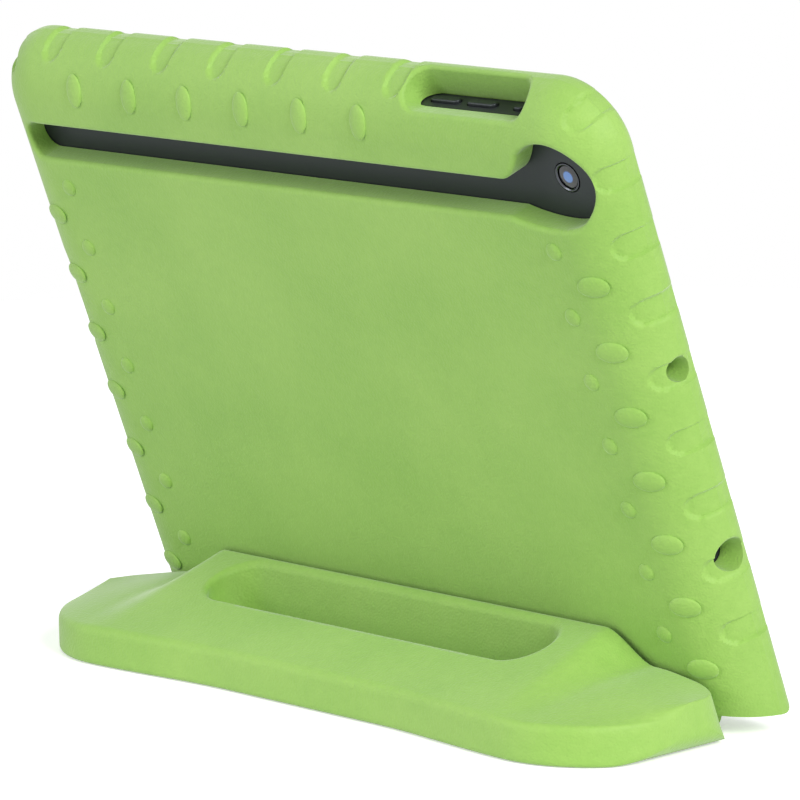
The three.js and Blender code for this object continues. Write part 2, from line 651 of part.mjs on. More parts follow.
function tabletHousing() {
  const edge = TABLET_LENGTH / 2;
  const wellWidth = BUTTON_WIDTH + 2 * FIT;
  const wellFloor = TABLET_TOP - BUTTON_ROOT - FIT;
  const glassSeatRadius = TABLET_CORNER - GLASS_RIM;
  const buttonWells = [VOLUME_UP_X, VOLUME_DOWN_X].map((x) => (
    keyShape(x, BUTTON_LENGTH + 2 * FIT, wellWidth, wellFloor - BUTTON_TRAVEL, TABLET_TOP + BURIED)
  ));
  const switchLength = SWITCH_LENGTH + SWITCH_TRAVEL + 2 * FIT;
  const linerRadius = JACK_BORE + JACK_LINER + FIT;
  return cutAll(plate(tabletOutline(0, TABLET_CORNER), TABLET_FRONT, TABLET_BACK), [
    plate(tabletOutline(FIT - GLASS_RIM, glassSeatRadius), TABLET_FRONT - BURIED, TABLET_FRONT + GLASS_THICKNESS + FIT),
    plate(tabletOutline(-BEZEL_SIDE, TABLET_WALL), TABLET_FRONT - BURIED, TABLET_BACK - TABLET_WALL),
    ...buttonWells,
    keyShape(SWITCH_X - SWITCH_TRAVEL / 2, switchLength, wellWidth, wellFloor, TABLET_TOP + BURIED),
    lensRod(LENS_RING_RADIUS + FIT, TABLET_BACK - LENS_DEPTH - FIT, TABLET_BACK + BURIED),
    rodAlongX(linerRadius, -edge - BURIED, -edge + JACK_DEPTH + FIT, TABLET_CORE, JACK_Z),
    socketShape(edge - SOCKET_DEPTH - FIT, edge + BURIED, FIT),
  ]);
}

function frontGlass() {
  const radius = TABLET_CORNER - GLASS_RIM - FIT;
  return plate(tabletOutline(-GLASS_RIM, radius), TABLET_FRONT, TABLET_FRONT + GLASS_THICKNESS);
}

function displayPanel() {
  const front = TABLET_FRONT + GLASS_THICKNESS + FIT;
  return plate(tabletOutline(-BEZEL_SIDE - FIT, TABLET_WALL), front, front + PANEL_THICKNESS);
}

function batteryPack() {
  const front = TABLET_FRONT + GLASS_THICKNESS + PANEL_THICKNESS + 2 * FIT;
  return plate(tabletOutline(-BEZEL_SIDE - FIT, TABLET_WALL), front, TABLET_BACK - TABLET_WALL - FIT);
}

function lensRing() {
  const ring = lensRod(LENS_RING_RADIUS, TABLET_BACK - LENS_DEPTH, TABLET_BACK);
  const glassSeat = LENS_RING_RADIUS - LENS_RING_WIDTH + FIT;
  return ring.subtract(lensRod(glassSeat, TABLET_BACK - LENS_DEPTH - BURIED, TABLET_BACK + BURIED));
}

function lensGlass() {
  return lensRod(LENS_RING_RADIUS - LENS_RING_WIDTH, TABLET_BACK - LENS_DEPTH, TABLET_BACK - FIT);
}

function topKey(x, length) {
  return keyShape(x, length, BUTTON_WIDTH, TABLET_TOP - BUTTON_ROOT, TABLET_TOP + BUTTON_PROUD);
}

function jackLiner() {
  const edge = -TABLET_LENGTH / 2;
  const tube = rodAlongX(JACK_BORE + JACK_LINER, edge, edge + JACK_DEPTH, TABLET_CORE, JACK_Z);
  const boreEnd = edge + JACK_DEPTH - JACK_END_WALL;
  return tube.subtract(rodAlongX(JACK_BORE, edge - BURIED, boreEnd, TABLET_CORE, JACK_Z, SMALL_ROUND));
}

function chargingSocket() {
  const edge = TABLET_LENGTH / 2;
  const inner = edge - SOCKET_DEPTH;
  return socketShape(inner, edge, 0).subtract(socketShape(inner + SOCKET_END_WALL, edge + BURIED, -SOCKET_WALL));
}

function piece(name, solid, finish) {
  const mesh = new THREE.Mesh(toGeometry(solid), new THREE.MeshStandardMaterial(finish));
  mesh.name = name;
  return mesh;
}

// The case stands in its own leaning frame: X along it, Y out of its back, Z up its slope.
const leaning = new THREE.Group();
leaning.rotation.x = -lean;
leaning.add(
  piece('foam_case', foamCase(), foam),
  piece('tablet_housing', tabletHousing(), slate),
  piece('front_glass', frontGlass(), blackGlass),
  piece('display_panel', displayPanel(), blackPlastic),
  piece('battery_pack', batteryPack(), blackPlastic),
  piece('lens_ring', lensRing(), steel),
  piece('lens_glass', lensGlass(), blackGlass),
  piece('volume_up_button', topKey(VOLUME_UP_X, BUTTON_LENGTH), slate),
  piece('volume_down_button', topKey(VOLUME_DOWN_X, BUTTON_LENGTH), slate),
  piece('side_switch', topKey(SWITCH_X, SWITCH_LENGTH), slate),
  piece('jack_liner', jackLiner(), blackPlastic),
  piece('charging_socket', chargingSocket(), steel),
);

const standing = new THREE.Group();
standing.add(
  leaning,
  piece('stand_handle', standHandle(), foam),
  piece('hinge_rod', hingeRod(), steel),
);

// The origin is the middle of the footprint, on the floor.
const group = new THREE.Group();
group.add(standing);
group.updateMatrixWorld(true);
const reach = new THREE.Box3().setFromObject(standing, true);
standing.position.set(0, -(reach.min.y + reach.max.y) / 2, -reach.min.z);

export default group;
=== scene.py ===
# %% [markdown]
# # A foam tablet case on its folding stand
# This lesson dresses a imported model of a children's tablet case. The real case is one thick foam
# moulding that grips the tablet, and a second moulding, the stand, turns on a rod in its foot.
# The frame holds every size and joint, so each piece made here goes where the frame already is.

# %% Load the frame
import json
import math

import bmesh
import bpy
import numpy as np
from mathutils import Matrix, Vector


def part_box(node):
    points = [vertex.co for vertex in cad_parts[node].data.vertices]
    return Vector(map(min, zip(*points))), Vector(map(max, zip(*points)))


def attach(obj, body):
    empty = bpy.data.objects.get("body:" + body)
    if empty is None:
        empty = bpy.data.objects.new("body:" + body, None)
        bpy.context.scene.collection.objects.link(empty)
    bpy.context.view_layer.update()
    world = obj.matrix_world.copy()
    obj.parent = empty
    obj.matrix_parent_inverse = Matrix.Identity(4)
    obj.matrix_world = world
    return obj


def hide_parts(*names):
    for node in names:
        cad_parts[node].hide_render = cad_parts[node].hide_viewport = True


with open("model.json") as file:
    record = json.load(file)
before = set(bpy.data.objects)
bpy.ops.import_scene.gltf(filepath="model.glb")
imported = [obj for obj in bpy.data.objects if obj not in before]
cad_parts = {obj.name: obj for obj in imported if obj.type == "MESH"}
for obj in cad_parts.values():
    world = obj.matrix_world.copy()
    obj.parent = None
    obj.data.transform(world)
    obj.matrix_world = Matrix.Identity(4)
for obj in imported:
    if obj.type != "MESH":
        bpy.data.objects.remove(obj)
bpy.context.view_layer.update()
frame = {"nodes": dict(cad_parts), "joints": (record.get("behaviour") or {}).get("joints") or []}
nodes = frame["nodes"]
print("nodes:", sorted(nodes))

# %% [markdown]
# ## Sizes
# The case leans back, so its own pieces are drawn in a leaning frame in millimetres: X along the
# case, Y out of its back, Z up its slope from the foot. One function takes them to the world.

# %% Sizes and frames
MM = 0.001
LEAN = math.radians(20.5)
HINGE_HEIGHT = 6.0
FOOT_LIFT = 5.7
FOOT_ROUND = 4.0
fold = next(joint for joint in frame["joints"] if joint["name"] == "stand_fold")
FOOT_LINE = fold["pos_m"][1] / MM - HINGE_HEIGHT * math.tan(LEAN)
FIT = 0.3
TURNING_FIT = 0.4
TABLET_LENGTH = 228.0
TABLET_HEIGHT = 150.0
TABLET_CORNER = 9.0
FOOT_HEIGHT = 35.2
HALF_LENGTH = 123.0
CASE_TOP = 194.7
CASE_THICKNESS = 19.3
CASE_CORNER = 20.0
FLANK_WIDTH = 18.5
FLANK_DEPTH = 14.5
BACK_WALL = 8.0
TABLET_BACK = -8.3
TABLET_FRONT = -15.8
TABLET_CORE = (TABLET_BACK + TABLET_FRONT) / 2
TABLET_TOP = FOOT_HEIGHT + TABLET_HEIGHT
TABLET_MIDDLE = FOOT_HEIGHT + TABLET_HEIGHT / 2
LENS_X = -103.9
LENS_Z = 167.9
SLOT_UPPER = CASE_TOP - 25.3
SLOT_LOWER = SLOT_UPPER - 10.9
AXIS_SLOPE = HINGE_HEIGHT / math.cos(LEAN)
AXIS_Y = HINGE_HEIGHT * math.tan(LEAN)


def leaning_to_world(points):
    """Millimetres in the leaning frame to metres in the world."""
    x, y, z = np.asarray(points, float).reshape(-1, 3).T
    across = y * math.cos(LEAN) + z * math.sin(LEAN) + FOOT_LINE
    up = z * math.cos(LEAN) - y * math.sin(LEAN)
    return np.stack([x, across, up], 1) * MM


def standing_to_world(points):
    """Millimetres behind the foot line, on the floor, to metres in the world."""
    points = np.asarray(points, float).reshape(-1, 3) + (0.0, FOOT_LINE, 0.0)
    return points * MM


print("foot line at", round(FOOT_LINE, 2), "mm")

# %% [markdown]
# ## Camera
# The view is from behind and a little above, with a long lens, so the sides barely converge.
# The camera is placed by its turn round the object, its elevation and a small roll.

# %% Camera
CAMERA_PLACE = Vector((-1063.0, 1029.1 + FOOT_LINE, 344.1)) * MM
CAMERA_TURN = math.radians(46.34)
CAMERA_ELEVATION = math.radians(10.07)
CAMERA_ROLL = math.radians(-0.98)
CAMERA_LENS = 234.0
SENSOR = 36.0


def camera_axes():
    """The camera's right, up and backward directions."""
    flat = math.cos(CAMERA_ELEVATION)
    forward = Vector((
        math.sin(CAMERA_TURN) * flat, -math.cos(CAMERA_TURN) * flat, -math.sin(CAMERA_ELEVATION),
    ))
    right = Vector((-math.cos(CAMERA_TURN), -math.sin(CAMERA_TURN), 0.0))
    up = right.cross(forward)
    rolled_right = right * math.cos(CAMERA_ROLL) + up * math.sin(CAMERA_ROLL)
    rolled_up = up * math.cos(CAMERA_ROLL) - right * math.sin(CAMERA_ROLL)
    return rolled_right, rolled_up, -forward


camera_data = bpy.data.cameras.new("camera")
camera_data.lens = CAMERA_LENS
camera_data.sensor_width = SENSOR
camera = bpy.data.objects.new("camera", camera_data)
bpy.context.scene.collection.objects.link(camera)
camera.matrix_world = Matrix.Translation(CAMERA_PLACE) @ Matrix(camera_axes()).transposed().to_4x4()
bpy.context.scene.camera = camera
print("camera at", tuple(round(value, 3) for value in CAMERA_PLACE))

# %% [markdown]
# ## Modelling helpers
# Most pieces are lofts: rings of equally many points, joined by quads and closed at both ends.
# Openings are cut with the Boolean modifier's fast solver for closed meshes. Weighted normals
# keep the flat faces flat beside the round edges.

# %% Lofts, cuts and finishing
SHARP_EDGE = math.radians(38)


def mesh_object(name, points, faces):
    mesh = bpy.data.meshes.new(name)
    mesh.from_pydata(np.asarray(points, float).tolist(), [], faces)
    shape = bmesh.new()
    shape.from_mesh(mesh)
    bmesh.ops.recalc_face_normals(shape, faces=shape.faces)
    shape.to_mesh(mesh)
    shape.free()
    thing = bpy.data.objects.new(name, mesh)
    bpy.context.scene.collection.objects.link(thing)
    return thing


def loft(name, rings):
    count = len(rings[0])
    faces = []
    for ring in range(len(rings) - 1):
        for k in range(count):
            a = ring * count + k
            b = ring * count + (k + 1) % count
            faces.append((a, b, b + count, a + count))
    faces.append(tuple(range(count)))
    faces.append(tuple(range((len(rings) - 1) * count, len(rings) * count)))
    return mesh_object(name, np.concatenate(rings), faces)


def box_between(name, low, high):
    corners = [(x, y, z) for z in (low[2], high[2]) for y in (low[1], high[1]) for x in (low[0], high[0])]
    faces = [(0, 1, 3, 2), (4, 5, 7, 6), (0, 1, 5, 4), (2, 3, 7, 6), (0, 2, 6, 4), (1, 3, 7, 5)]
    return mesh_object(name, corners, faces)


def rod_along_x(name, radius, x0, x1, y, z, facets=96):
    angles = np.linspace(0, 2 * math.pi, facets, endpoint=False)
    across = y + radius * np.cos(angles)
    up = z + radius * np.sin(angles)
    return loft(name, [np.stack([np.full(facets, x), across, up], 1) for x in (x0, x1)])


def bake_modifiers(thing):
    graph = bpy.context.evaluated_depsgraph_get()
    mesh = bpy.data.meshes.new_from_object(thing.evaluated_get(graph))
    thing.modifiers.clear()
    thing.data = mesh


def combine(thing, others, operation):
    for other in others:
        modifier = thing.modifiers.new("combine", "BOOLEAN")
        modifier.solver = "MANIFOLD"
        modifier.operation = operation
        modifier.object = other
    bake_modifiers(thing)
    for other in others:
        bpy.data.objects.remove(other)


def finish_surface(thing, to_world):
    """Takes a piece to the world, splits its shading at sharp edges and keeps its flats flat."""
    mesh = thing.data
    places = np.array([vertex.co for vertex in mesh.vertices])
    mesh.vertices.foreach_set("co", to_world(places).ravel())
    shape = bmesh.new()
    shape.from_mesh(mesh)
    bmesh.ops.remove_doubles(shape, verts=shape.verts, dist=2e-6)
    bmesh.ops.dissolve_degenerate(shape, edges=shape.edges, dist=2e-6)
    for edge in shape.edges:
        edge.smooth = len(edge.link_faces) == 2 and edge.calc_face_angle(0.0) < SHARP_EDGE
    for face in shape.faces:
        face.smooth = True
    shape.to_mesh(mesh)
    shape.free()
    modifier = thing.modifiers.new("flats", "WEIGHTED_NORMAL")
    modifier.keep_sharp = True
    bake_modifiers(thing)


def report(thing):
    triangles = sum(len(polygon.vertices) - 2 for polygon in thing.data.polygons)
    print(thing.name, "has", triangles, "triangles")


# %% [markdown]
# ## The foam case's outside
# A foam bumper has no sharp edge: its back runs into a broad quarter ellipse down the flank, and a
# tighter round meets the front. Rings follow that section from the back to the front, and shallow
# bands are pressed into the flank by moving the points along the surface's own normal.

# %% Rim of the case
SIDE_PITCH = 19.8
TOP_PITCH = 23.9
FIRST_ROW = SLOT_LOWER - 9.1
ROWS = [FIRST_ROW - SIDE_PITCH * row for row in range(7)]
BAND_HALF_WIDTH = 3.9
BAND_INSET = 5.8
BAND_DEPTH = 1.0
BAND_EDGE = 0.55
BAND_FADE_FROM = 0.8
BAND_FADE_LENGTH = 1.8
SEAM_Y = -12.9
SEAM_RISE = 0.25
SEAM_HALF_WIDTH = 0.45


def inside_outline(x, z):
    """Distance inside the case's widest outline, in millimetres."""
    corner_x = np.maximum(np.abs(x) - (HALF_LENGTH - CASE_CORNER), 0)
    corner_z = np.maximum(z - (CASE_TOP - CASE_CORNER), 0)
    straight = np.minimum(HALF_LENGTH - np.abs(x), CASE_TOP - z)
    return np.where((corner_x > 0) & (corner_z > 0), CASE_CORNER - np.hypot(corner_x, corner_z), straight)


def back_depth(inside):
    """How far the back's surface lies below its flat middle."""
    share = np.clip(FLANK_WIDTH - inside, 0, FLANK_WIDTH) / FLANK_WIDTH
    return FLANK_DEPTH * (1 - np.sqrt(1 - share**2))


def rim_inset(y):
    """How far the rim is set in from the widest outline, at a depth y."""
    share = np.clip(1 + np.asarray(y) / FLANK_DEPTH, 0, 1)
    from_back = FLANK_WIDTH * (1 - np.sqrt(1 - share**2))
    front_round = CASE_THICKNESS - FLANK_DEPTH
    past = np.clip(-FLANK_DEPTH - np.asarray(y), 0, front_round) / front_round
    from_front = front_round * (1 - np.sqrt(1 - past**2))
    return np.where(np.asarray(y) > -FLANK_DEPTH, from_back, from_front)


def band_places():
    """Round end and outward direction of every band."""
    places = []
    corner = CASE_CORNER - (CASE_CORNER - BAND_INSET) * math.sqrt(0.5)
    for side in (-1, 1):
        for z in (ROWS[0] + SIDE_PITCH, *ROWS):
            places.append((side * (HALF_LENGTH - BAND_INSET), z, side, 0))
        slant = math.sqrt(0.5)
        places.append((side * (HALF_LENGTH - corner), CASE_TOP - corner, side * slant, slant))
    for column in range(-2, 5):
        places.append((column * TOP_PITCH, CASE_TOP - BAND_INSET, 0, 1))
    return places


def band_press(x, z):
    """How deep the bands press in at each place, from 0 to BAND_DEPTH."""
    press = np.zeros_like(x)
    for end_x, end_z, out_x, out_z in band_places():
        along = (x - end_x) * out_x + (z - end_z) * out_z
        across = (x - end_x) * out_z - (z - end_z) * out_x
        past_end = np.minimum(along - BAND_HALF_WIDTH, 0)
        distance = np.hypot(across, past_end) - BAND_HALF_WIDTH
        share = np.clip(-distance / BAND_EDGE, 0, 1)
        press = np.maximum(press, np.where(along > -1, share * share * (3 - 2 * share), 0))
    return press * BAND_DEPTH


# %% Rings of the case
SIDE_STEPS = 360
TOP_STEPS = 340
CORNER_STEPS = 50
FLANK_STEPS = 40
FRONT_STEPS = 9
FACE_RING = 8
EDGE_RING = 0.6
CASE_BELOW = -CASE_THICKNESS * math.tan(LEAN) - CASE_CORNER


def outline_path(inset):
    """Places and outward directions along the case's rim, from one foot over the top to the other."""
    radius = max(CASE_CORNER - inset, 0.5)
    edge_x = HALF_LENGTH - inset
    high = CASE_TOP - inset
    places = []
    outward = []
    for z in np.linspace(CASE_BELOW, high - radius, SIDE_STEPS, endpoint=False):
        places.append((edge_x, z))
        outward.append((1, 0))
    for start in (0, math.pi / 2):
        middle = (edge_x - radius) if start == 0 else -(edge_x - radius)
        for k in range(CORNER_STEPS + 1):
            angle = start + k / CORNER_STEPS * math.pi / 2
            places.append((middle + radius * math.cos(angle), high - radius + radius * math.sin(angle)))
            outward.append((math.cos(angle), math.sin(angle)))
        if start == 0:
            for x in np.linspace(edge_x - radius, -(edge_x - radius), TOP_STEPS)[1:-1]:
                places.append((x, high))
                outward.append((0, 1))
    for z in np.linspace(high - radius, CASE_BELOW, SIDE_STEPS + 1)[1:]:
        places.append((-edge_x, z))
        outward.append((-1, 0))
    return np.array(places), np.array(outward)


def case_ring(inset, y, lift_out, lift_back):
    """One ring, moved by the bands along the direction (out, back)."""
    places, outward = outline_path(inset)
    press = band_press(places[:, 0], places[:, 1])
    fade = np.clip((y + CASE_THICKNESS - BAND_FADE_FROM) / BAND_FADE_LENGTH, 0, 1)
    moved = places - outward * (press * fade * lift_out)[:, None]
    moved = moved + outward * (SEAM_RISE * math.exp(-((y - SEAM_Y) / SEAM_HALF_WIDTH) ** 2))
    depth = y - press * fade * lift_back
    return np.stack([moved[:, 0], depth, moved[:, 1]], 1)


def case_outside(name):
    rings = [case_ring(FLANK_WIDTH + inside, 0, 0, 1) for inside in (FACE_RING, EDGE_RING)]
    for k in range(FLANK_STEPS + 1):
        angle = k / FLANK_STEPS * math.pi / 2
        lift = Vector((FLANK_DEPTH * math.sin(angle), FLANK_WIDTH * math.cos(angle))).normalized()
        inset = FLANK_WIDTH * (1 - math.sin(angle))
        rings.append(case_ring(inset, -FLANK_DEPTH * (1 - math.cos(angle)), lift.x, lift.y))
    front_round = CASE_THICKNESS - FLANK_DEPTH
    for k in range(1, FRONT_STEPS + 1):
        angle = k / FRONT_STEPS * math.pi / 2
        inset = front_round * (1 - math.cos(angle))
        rings.append(case_ring(inset, -FLANK_DEPTH - front_round * math.sin(angle), 1, 0))
    rings.append(case_ring(front_round + EDGE_RING, -CASE_THICKNESS, 0, 1))
    return loft(name, rings)


foam_case = case_outside("foam_case_skin")
report(foam_case)

# %% [markdown]
# ## Openings with soft mouths
# Foam is cut with rounded lips, so each cutter flares at its mouth. The cutter's rings end on the
# face that it cuts, wherever that face lies, so the lip keeps its radius round the whole mouth.

# %% Mouth cutters
LIP_STEPS = 7
CUT_PAST = 3.0


def mouth_cutter(name, outline, floor, straight, flare, lip, surface, place):
    """Cutter from a floor height out through a curved face, with a flare and a rounded lip."""
    outline = np.asarray(outline, float)
    ahead = np.roll(outline, -1, 0) - np.roll(outline, 1, 0)
    normal = np.stack([ahead[:, 1], -ahead[:, 0]], 1)
    normal /= np.linalg.norm(normal, axis=1)[:, None]
    area = np.sum(outline[:, 0] * np.roll(outline[:, 1], -1) - outline[:, 1] * np.roll(outline[:, 0], -1))
    if area < 0:
        normal = -normal
    rings = []
    for height in (floor, straight):
        rings.append(place(outline[:, 0], outline[:, 1], np.full(len(outline), height)))
    for k in range(LIP_STEPS + 1):
        angle = k / LIP_STEPS * math.pi / 2
        spread = flare + lip * (1 - math.cos(angle))
        mouth = outline + normal * spread
        height = surface(mouth[:, 0], mouth[:, 1]) - lip * (1 - math.sin(angle))
        rings.append(place(mouth[:, 0], mouth[:, 1], height))
    height = surface(mouth[:, 0], mouth[:, 1]) + CUT_PAST
    rings.append(place(mouth[:, 0], mouth[:, 1], height))
    return loft(name, rings)


def stadium(straight, radius, steps=28):
    points = []
    for end, start in ((1, -math.pi / 2), (-1, math.pi / 2)):
        for k in range(steps + 1):
            angle = start + k / steps * math.pi
            points.append((end * straight + radius * math.cos(angle), radius * math.sin(angle)))
    return np.array(points)


def circle(radius, steps=64):
    angles = np.linspace(0, 2 * math.pi, steps, endpoint=False)
    return np.stack([radius * np.cos(angles), radius * np.sin(angles)], 1)


def bend(start, control, end, steps=18):
    """Points of a quadratic curve, without its last one."""
    t = np.linspace(0, 1, steps, endpoint=False)[:, None]
    start, control, end = (np.array(point, float) for point in (start, control, end))
    return (1 - t) ** 2 * start + 2 * t * (1 - t) * control + t**2 * end


# %% Slot and camera window in the back
HUMP_RADIUS = 13.0
HUMP_BLEND = 17.5
HUMP_DIP = 2.6
SLOT_END_INSET = 10.0
SLOT_LIP = 1.6


def window_outline():
    end_radius = (SLOT_UPPER - SLOT_LOWER) / 2
    far_end = HALF_LENGTH - SLOT_END_INSET - end_radius
    valley = LENS_X + HUMP_BLEND
    dip = SLOT_LOWER - HUMP_DIP
    shoulder = math.pi / 4
    lean_in = HUMP_RADIUS * math.cos(shoulder)
    angles = np.linspace(-math.pi / 2, math.pi / 2, 24, endpoint=False)
    end = np.stack([far_end + end_radius * np.cos(angles), SLOT_LOWER + end_radius * (1 + np.sin(angles))], 1)
    angles = np.linspace(shoulder, shoulder + math.pi, 60, endpoint=False)
    hump = np.stack([LENS_X + HUMP_RADIUS * np.cos(angles), LENS_Z + HUMP_RADIUS * np.sin(angles)], 1)
    return np.concatenate([
        np.stack([np.linspace(valley, far_end, 60, endpoint=False), np.full(60, SLOT_LOWER)], 1),
        end,
        np.stack([np.linspace(far_end, valley, 60, endpoint=False), np.full(60, SLOT_UPPER)], 1),
        bend((valley, SLOT_UPPER), (LENS_X + HUMP_RADIUS, SLOT_UPPER), (LENS_X + lean_in, LENS_Z + lean_in)),
        hump,
        bend((LENS_X - lean_in, LENS_Z - lean_in), (LENS_X - HUMP_RADIUS / 2, dip), (LENS_X, dip)),
        bend((LENS_X, dip), ((LENS_X + valley) / 2, dip), (valley, SLOT_LOWER)),
    ])


def back_face(x, z):
    return -back_depth(inside_outline(x, z))


window = mouth_cutter(
    "window", window_outline(), -BACK_WALL - 1, -BACK_WALL, 0, SLOT_LIP, back_face,
    lambda x, z, height: np.stack([x, np.maximum(height, -BACK_WALL + 0.01 * (height > -BACK_WALL)), z], 1),
)

# %% Round openings in the rim
MIC_RADIUS = 2.6
JACK_RADIUS = 3.6
JACK_Z = FOOT_HEIGHT + 17.5
RIM_LIP = 0.9


def side_reach(along, y):
    return HALF_LENGTH - rim_inset(y)


def round_mouth(name, z, radius, flare):
    outline = circle(radius) + (z, TABLET_CORE)
    return mouth_cutter(
        name, outline, TABLET_LENGTH / 2 - 1, TABLET_LENGTH / 2 + 2, flare, RIM_LIP, side_reach,
        lambda along, y, height: np.stack([-height, y, along], 1),
    )


mic = round_mouth("mic", TABLET_MIDDLE, MIC_RADIUS, 1.0)
jack = round_mouth("jack", JACK_Z, JACK_RADIUS, 1.2)

# %% [markdown]
# ## Openings that lean back
# The volume opening and the port opening run from the tablet's edge out through the rim, and
# their back walls lean far back, so that a finger gets in from behind. Each wall line is followed
# until it leaves the foam, and the rounded lip is set back from there.

# %% Leaning cutters
CUTOUT_CENTRE = 75.0
CUTOUT_LENGTH = 44.0
CUTOUT_BACK_Y = -1.4
CUTOUT_BACK_DROP = 8.3
PORT_LENGTH = 28.0
PORT_BACK_Y = -1.0
PORT_BACK_DROP = 8
END_RADIUS = 5.25
PORT_RADIUS = 4.5
OPENING_LIP = 1.3


def leaning_cutter(name, middle, length, radius, throat, mouth, flare, edge, place):
    """Cutter between a throat and a mouth, each given by its front and back points (y, out)."""
    straight = length / 2 - radius
    outline = stadium(straight, radius)
    share = ((outline[:, 1] / radius + 1) / 2)[:, None]
    spine = np.stack([np.clip(outline[:, 0], -straight, straight), np.zeros(len(outline))], 1)
    facing = (outline - spine) / radius
    throat_front, throat_back, mouth_front, mouth_back = (np.array(point) for point in (*throat, *mouth))
    across = (mouth_back - mouth_front) / np.linalg.norm(mouth_back - mouth_front)
    start = np.column_stack([middle + outline[:, 0], throat_front + (throat_back - throat_front) * share])
    stretch = 1 + 2 * flare / length
    mouth_points = mouth_front + (mouth_back - mouth_front) * share
    end = np.column_stack([middle + outline[:, 0] * stretch, mouth_points])
    line = end - start
    line /= np.linalg.norm(line, axis=1)[:, None]
    normal = np.column_stack([facing[:, 0], facing[:, 1:] * across])
    rings = [place(*(start - (0, 0, 1)).T), place(*start.T)]
    for k in range(LIP_STEPS + 1):
        angle = k / LIP_STEPS * math.pi / 2
        base = start + normal * OPENING_LIP * (1 - math.cos(angle))
        near = np.zeros(len(base))
        far = np.full(len(base), 40.0)
        for _ in range(30):
            halfway = (near + far) / 2
            point = base + line * halfway[:, None]
            is_out = point[:, 2] > edge - rim_inset(point[:, 1])
            far = np.where(is_out, halfway, far)
            near = np.where(is_out, near, halfway)
        reach = np.maximum(far - OPENING_LIP * (1 - math.sin(angle)), 0.05 * (k + 1))
        rings.append(place(*(base + line * reach[:, None]).T))
    rings.append(place(*(base + line * (far + 8)[:, None]).T))
    return loft(name, rings)


cutout = leaning_cutter(
    "cutout", -CUTOUT_CENTRE, CUTOUT_LENGTH, END_RADIUS,
    ((TABLET_FRONT, TABLET_TOP), (TABLET_BACK, TABLET_TOP)),
    ((TABLET_CORE - 1, CASE_TOP), (CUTOUT_BACK_Y, CASE_TOP - CUTOUT_BACK_DROP)),
    1.0, CASE_TOP, lambda along, y, out: np.stack([along, y, out], 1),
)
port = leaning_cutter(
    "port", TABLET_MIDDLE, PORT_LENGTH, PORT_RADIUS,
    ((TABLET_CORE - PORT_RADIUS, TABLET_LENGTH / 2), (TABLET_BACK, TABLET_LENGTH / 2)),
    ((TABLET_CORE - PORT_RADIUS, HALF_LENGTH), (PORT_BACK_Y, HALF_LENGTH - PORT_BACK_DROP)),
    2.0, HALF_LENGTH, lambda along, y, out: np.stack([out, y, along], 1),
)

# %% Pocket, screen window and foot
LIP_REACH = 6.0
FOOT_ROUND_STEPS = 10
FAR = 200.0
BORE_RADIUS = 2.3
FRONT_LIP_ROUND = 1.4
BARREL_RADIUS = HINGE_HEIGHT - 0.1
NOTCH_RADIUS = BARREL_RADIUS + TURNING_FIT
KNUCKLE_INNER = 84.0
KNUCKLE_OUTER = 104.0
BARREL_END = 108.0


def tablet_outline(margin, radius, steps=24):
    x = TABLET_LENGTH / 2 + margin - radius
    z = TABLET_HEIGHT / 2 + margin - radius
    points = []
    for corner_x, corner_z, start in ((x, z, 0), (-x, z, 1), (-x, -z, 2), (x, -z, 3)):
        for k in range(steps + 1):
            angle = (start + k / steps) * math.pi / 2
            along = corner_x + radius * math.cos(angle)
            points.append((along, TABLET_MIDDLE + corner_z + radius * math.sin(angle)))
    return np.array(points)


def slab(name, outline, low, high):
    rings = [np.stack([outline[:, 0], np.full(len(outline), y), outline[:, 1]], 1) for y in (low, high)]
    return loft(name, rings)


pocket = slab("pocket", tablet_outline(FIT, TABLET_CORNER + FIT), TABLET_FRONT - FIT, -BACK_WALL)
screen = mouth_cutter(
    "screen", tablet_outline(-LIP_REACH, TABLET_CORNER), -TABLET_FRONT - 1, -TABLET_FRONT, 0, FRONT_LIP_ROUND,
    lambda x, z: np.full(len(x), CASE_THICKNESS),
    lambda x, z, height: np.stack([x, -height, z], 1),
)
notch_end = BARREL_END + TURNING_FIT
spans = ((-notch_end, -KNUCKLE_OUTER), (-KNUCKLE_INNER, KNUCKLE_INNER), (KNUCKLE_OUTER, notch_end))
notches = [rod_along_x("notch", NOTCH_RADIUS, x0, x1, 0, AXIS_SLOPE) for x0, x1 in spans]
notches.append(box_between(
    "notch_foot", (-notch_end, -NOTCH_RADIUS, CASE_BELOW - 1), (notch_end, 1, AXIS_SLOPE),
))


def below_foot():
    """What lies under the case: its foot is clear of the floor, with a round lower front edge."""
    corner = -CASE_THICKNESS / math.cos(LEAN) + FOOT_LIFT * math.tan(LEAN)
    middle = corner + FOOT_ROUND / math.tan((math.pi / 2 - LEAN) / 2)
    profile = [(FAR, FOOT_LIFT)]
    for k in range(FOOT_ROUND_STEPS + 1):
        angle = -math.pi / 2 - k / FOOT_ROUND_STEPS * (math.pi / 2 + LEAN)
        across = middle + FOOT_ROUND * math.cos(angle)
        profile.append((across, FOOT_LIFT + FOOT_ROUND * (1 + math.sin(angle))))
    profile += [(-FAR, profile[-1][1]), (-FAR, -FAR), (FAR, -FAR)]
    cutter = loft("below_foot", [np.array([(x, y, z) for y, z in profile]) for x in (-FAR, FAR)])
    cutter.data.transform(Matrix.Rotation(LEAN, 4, "X"))
    return cutter


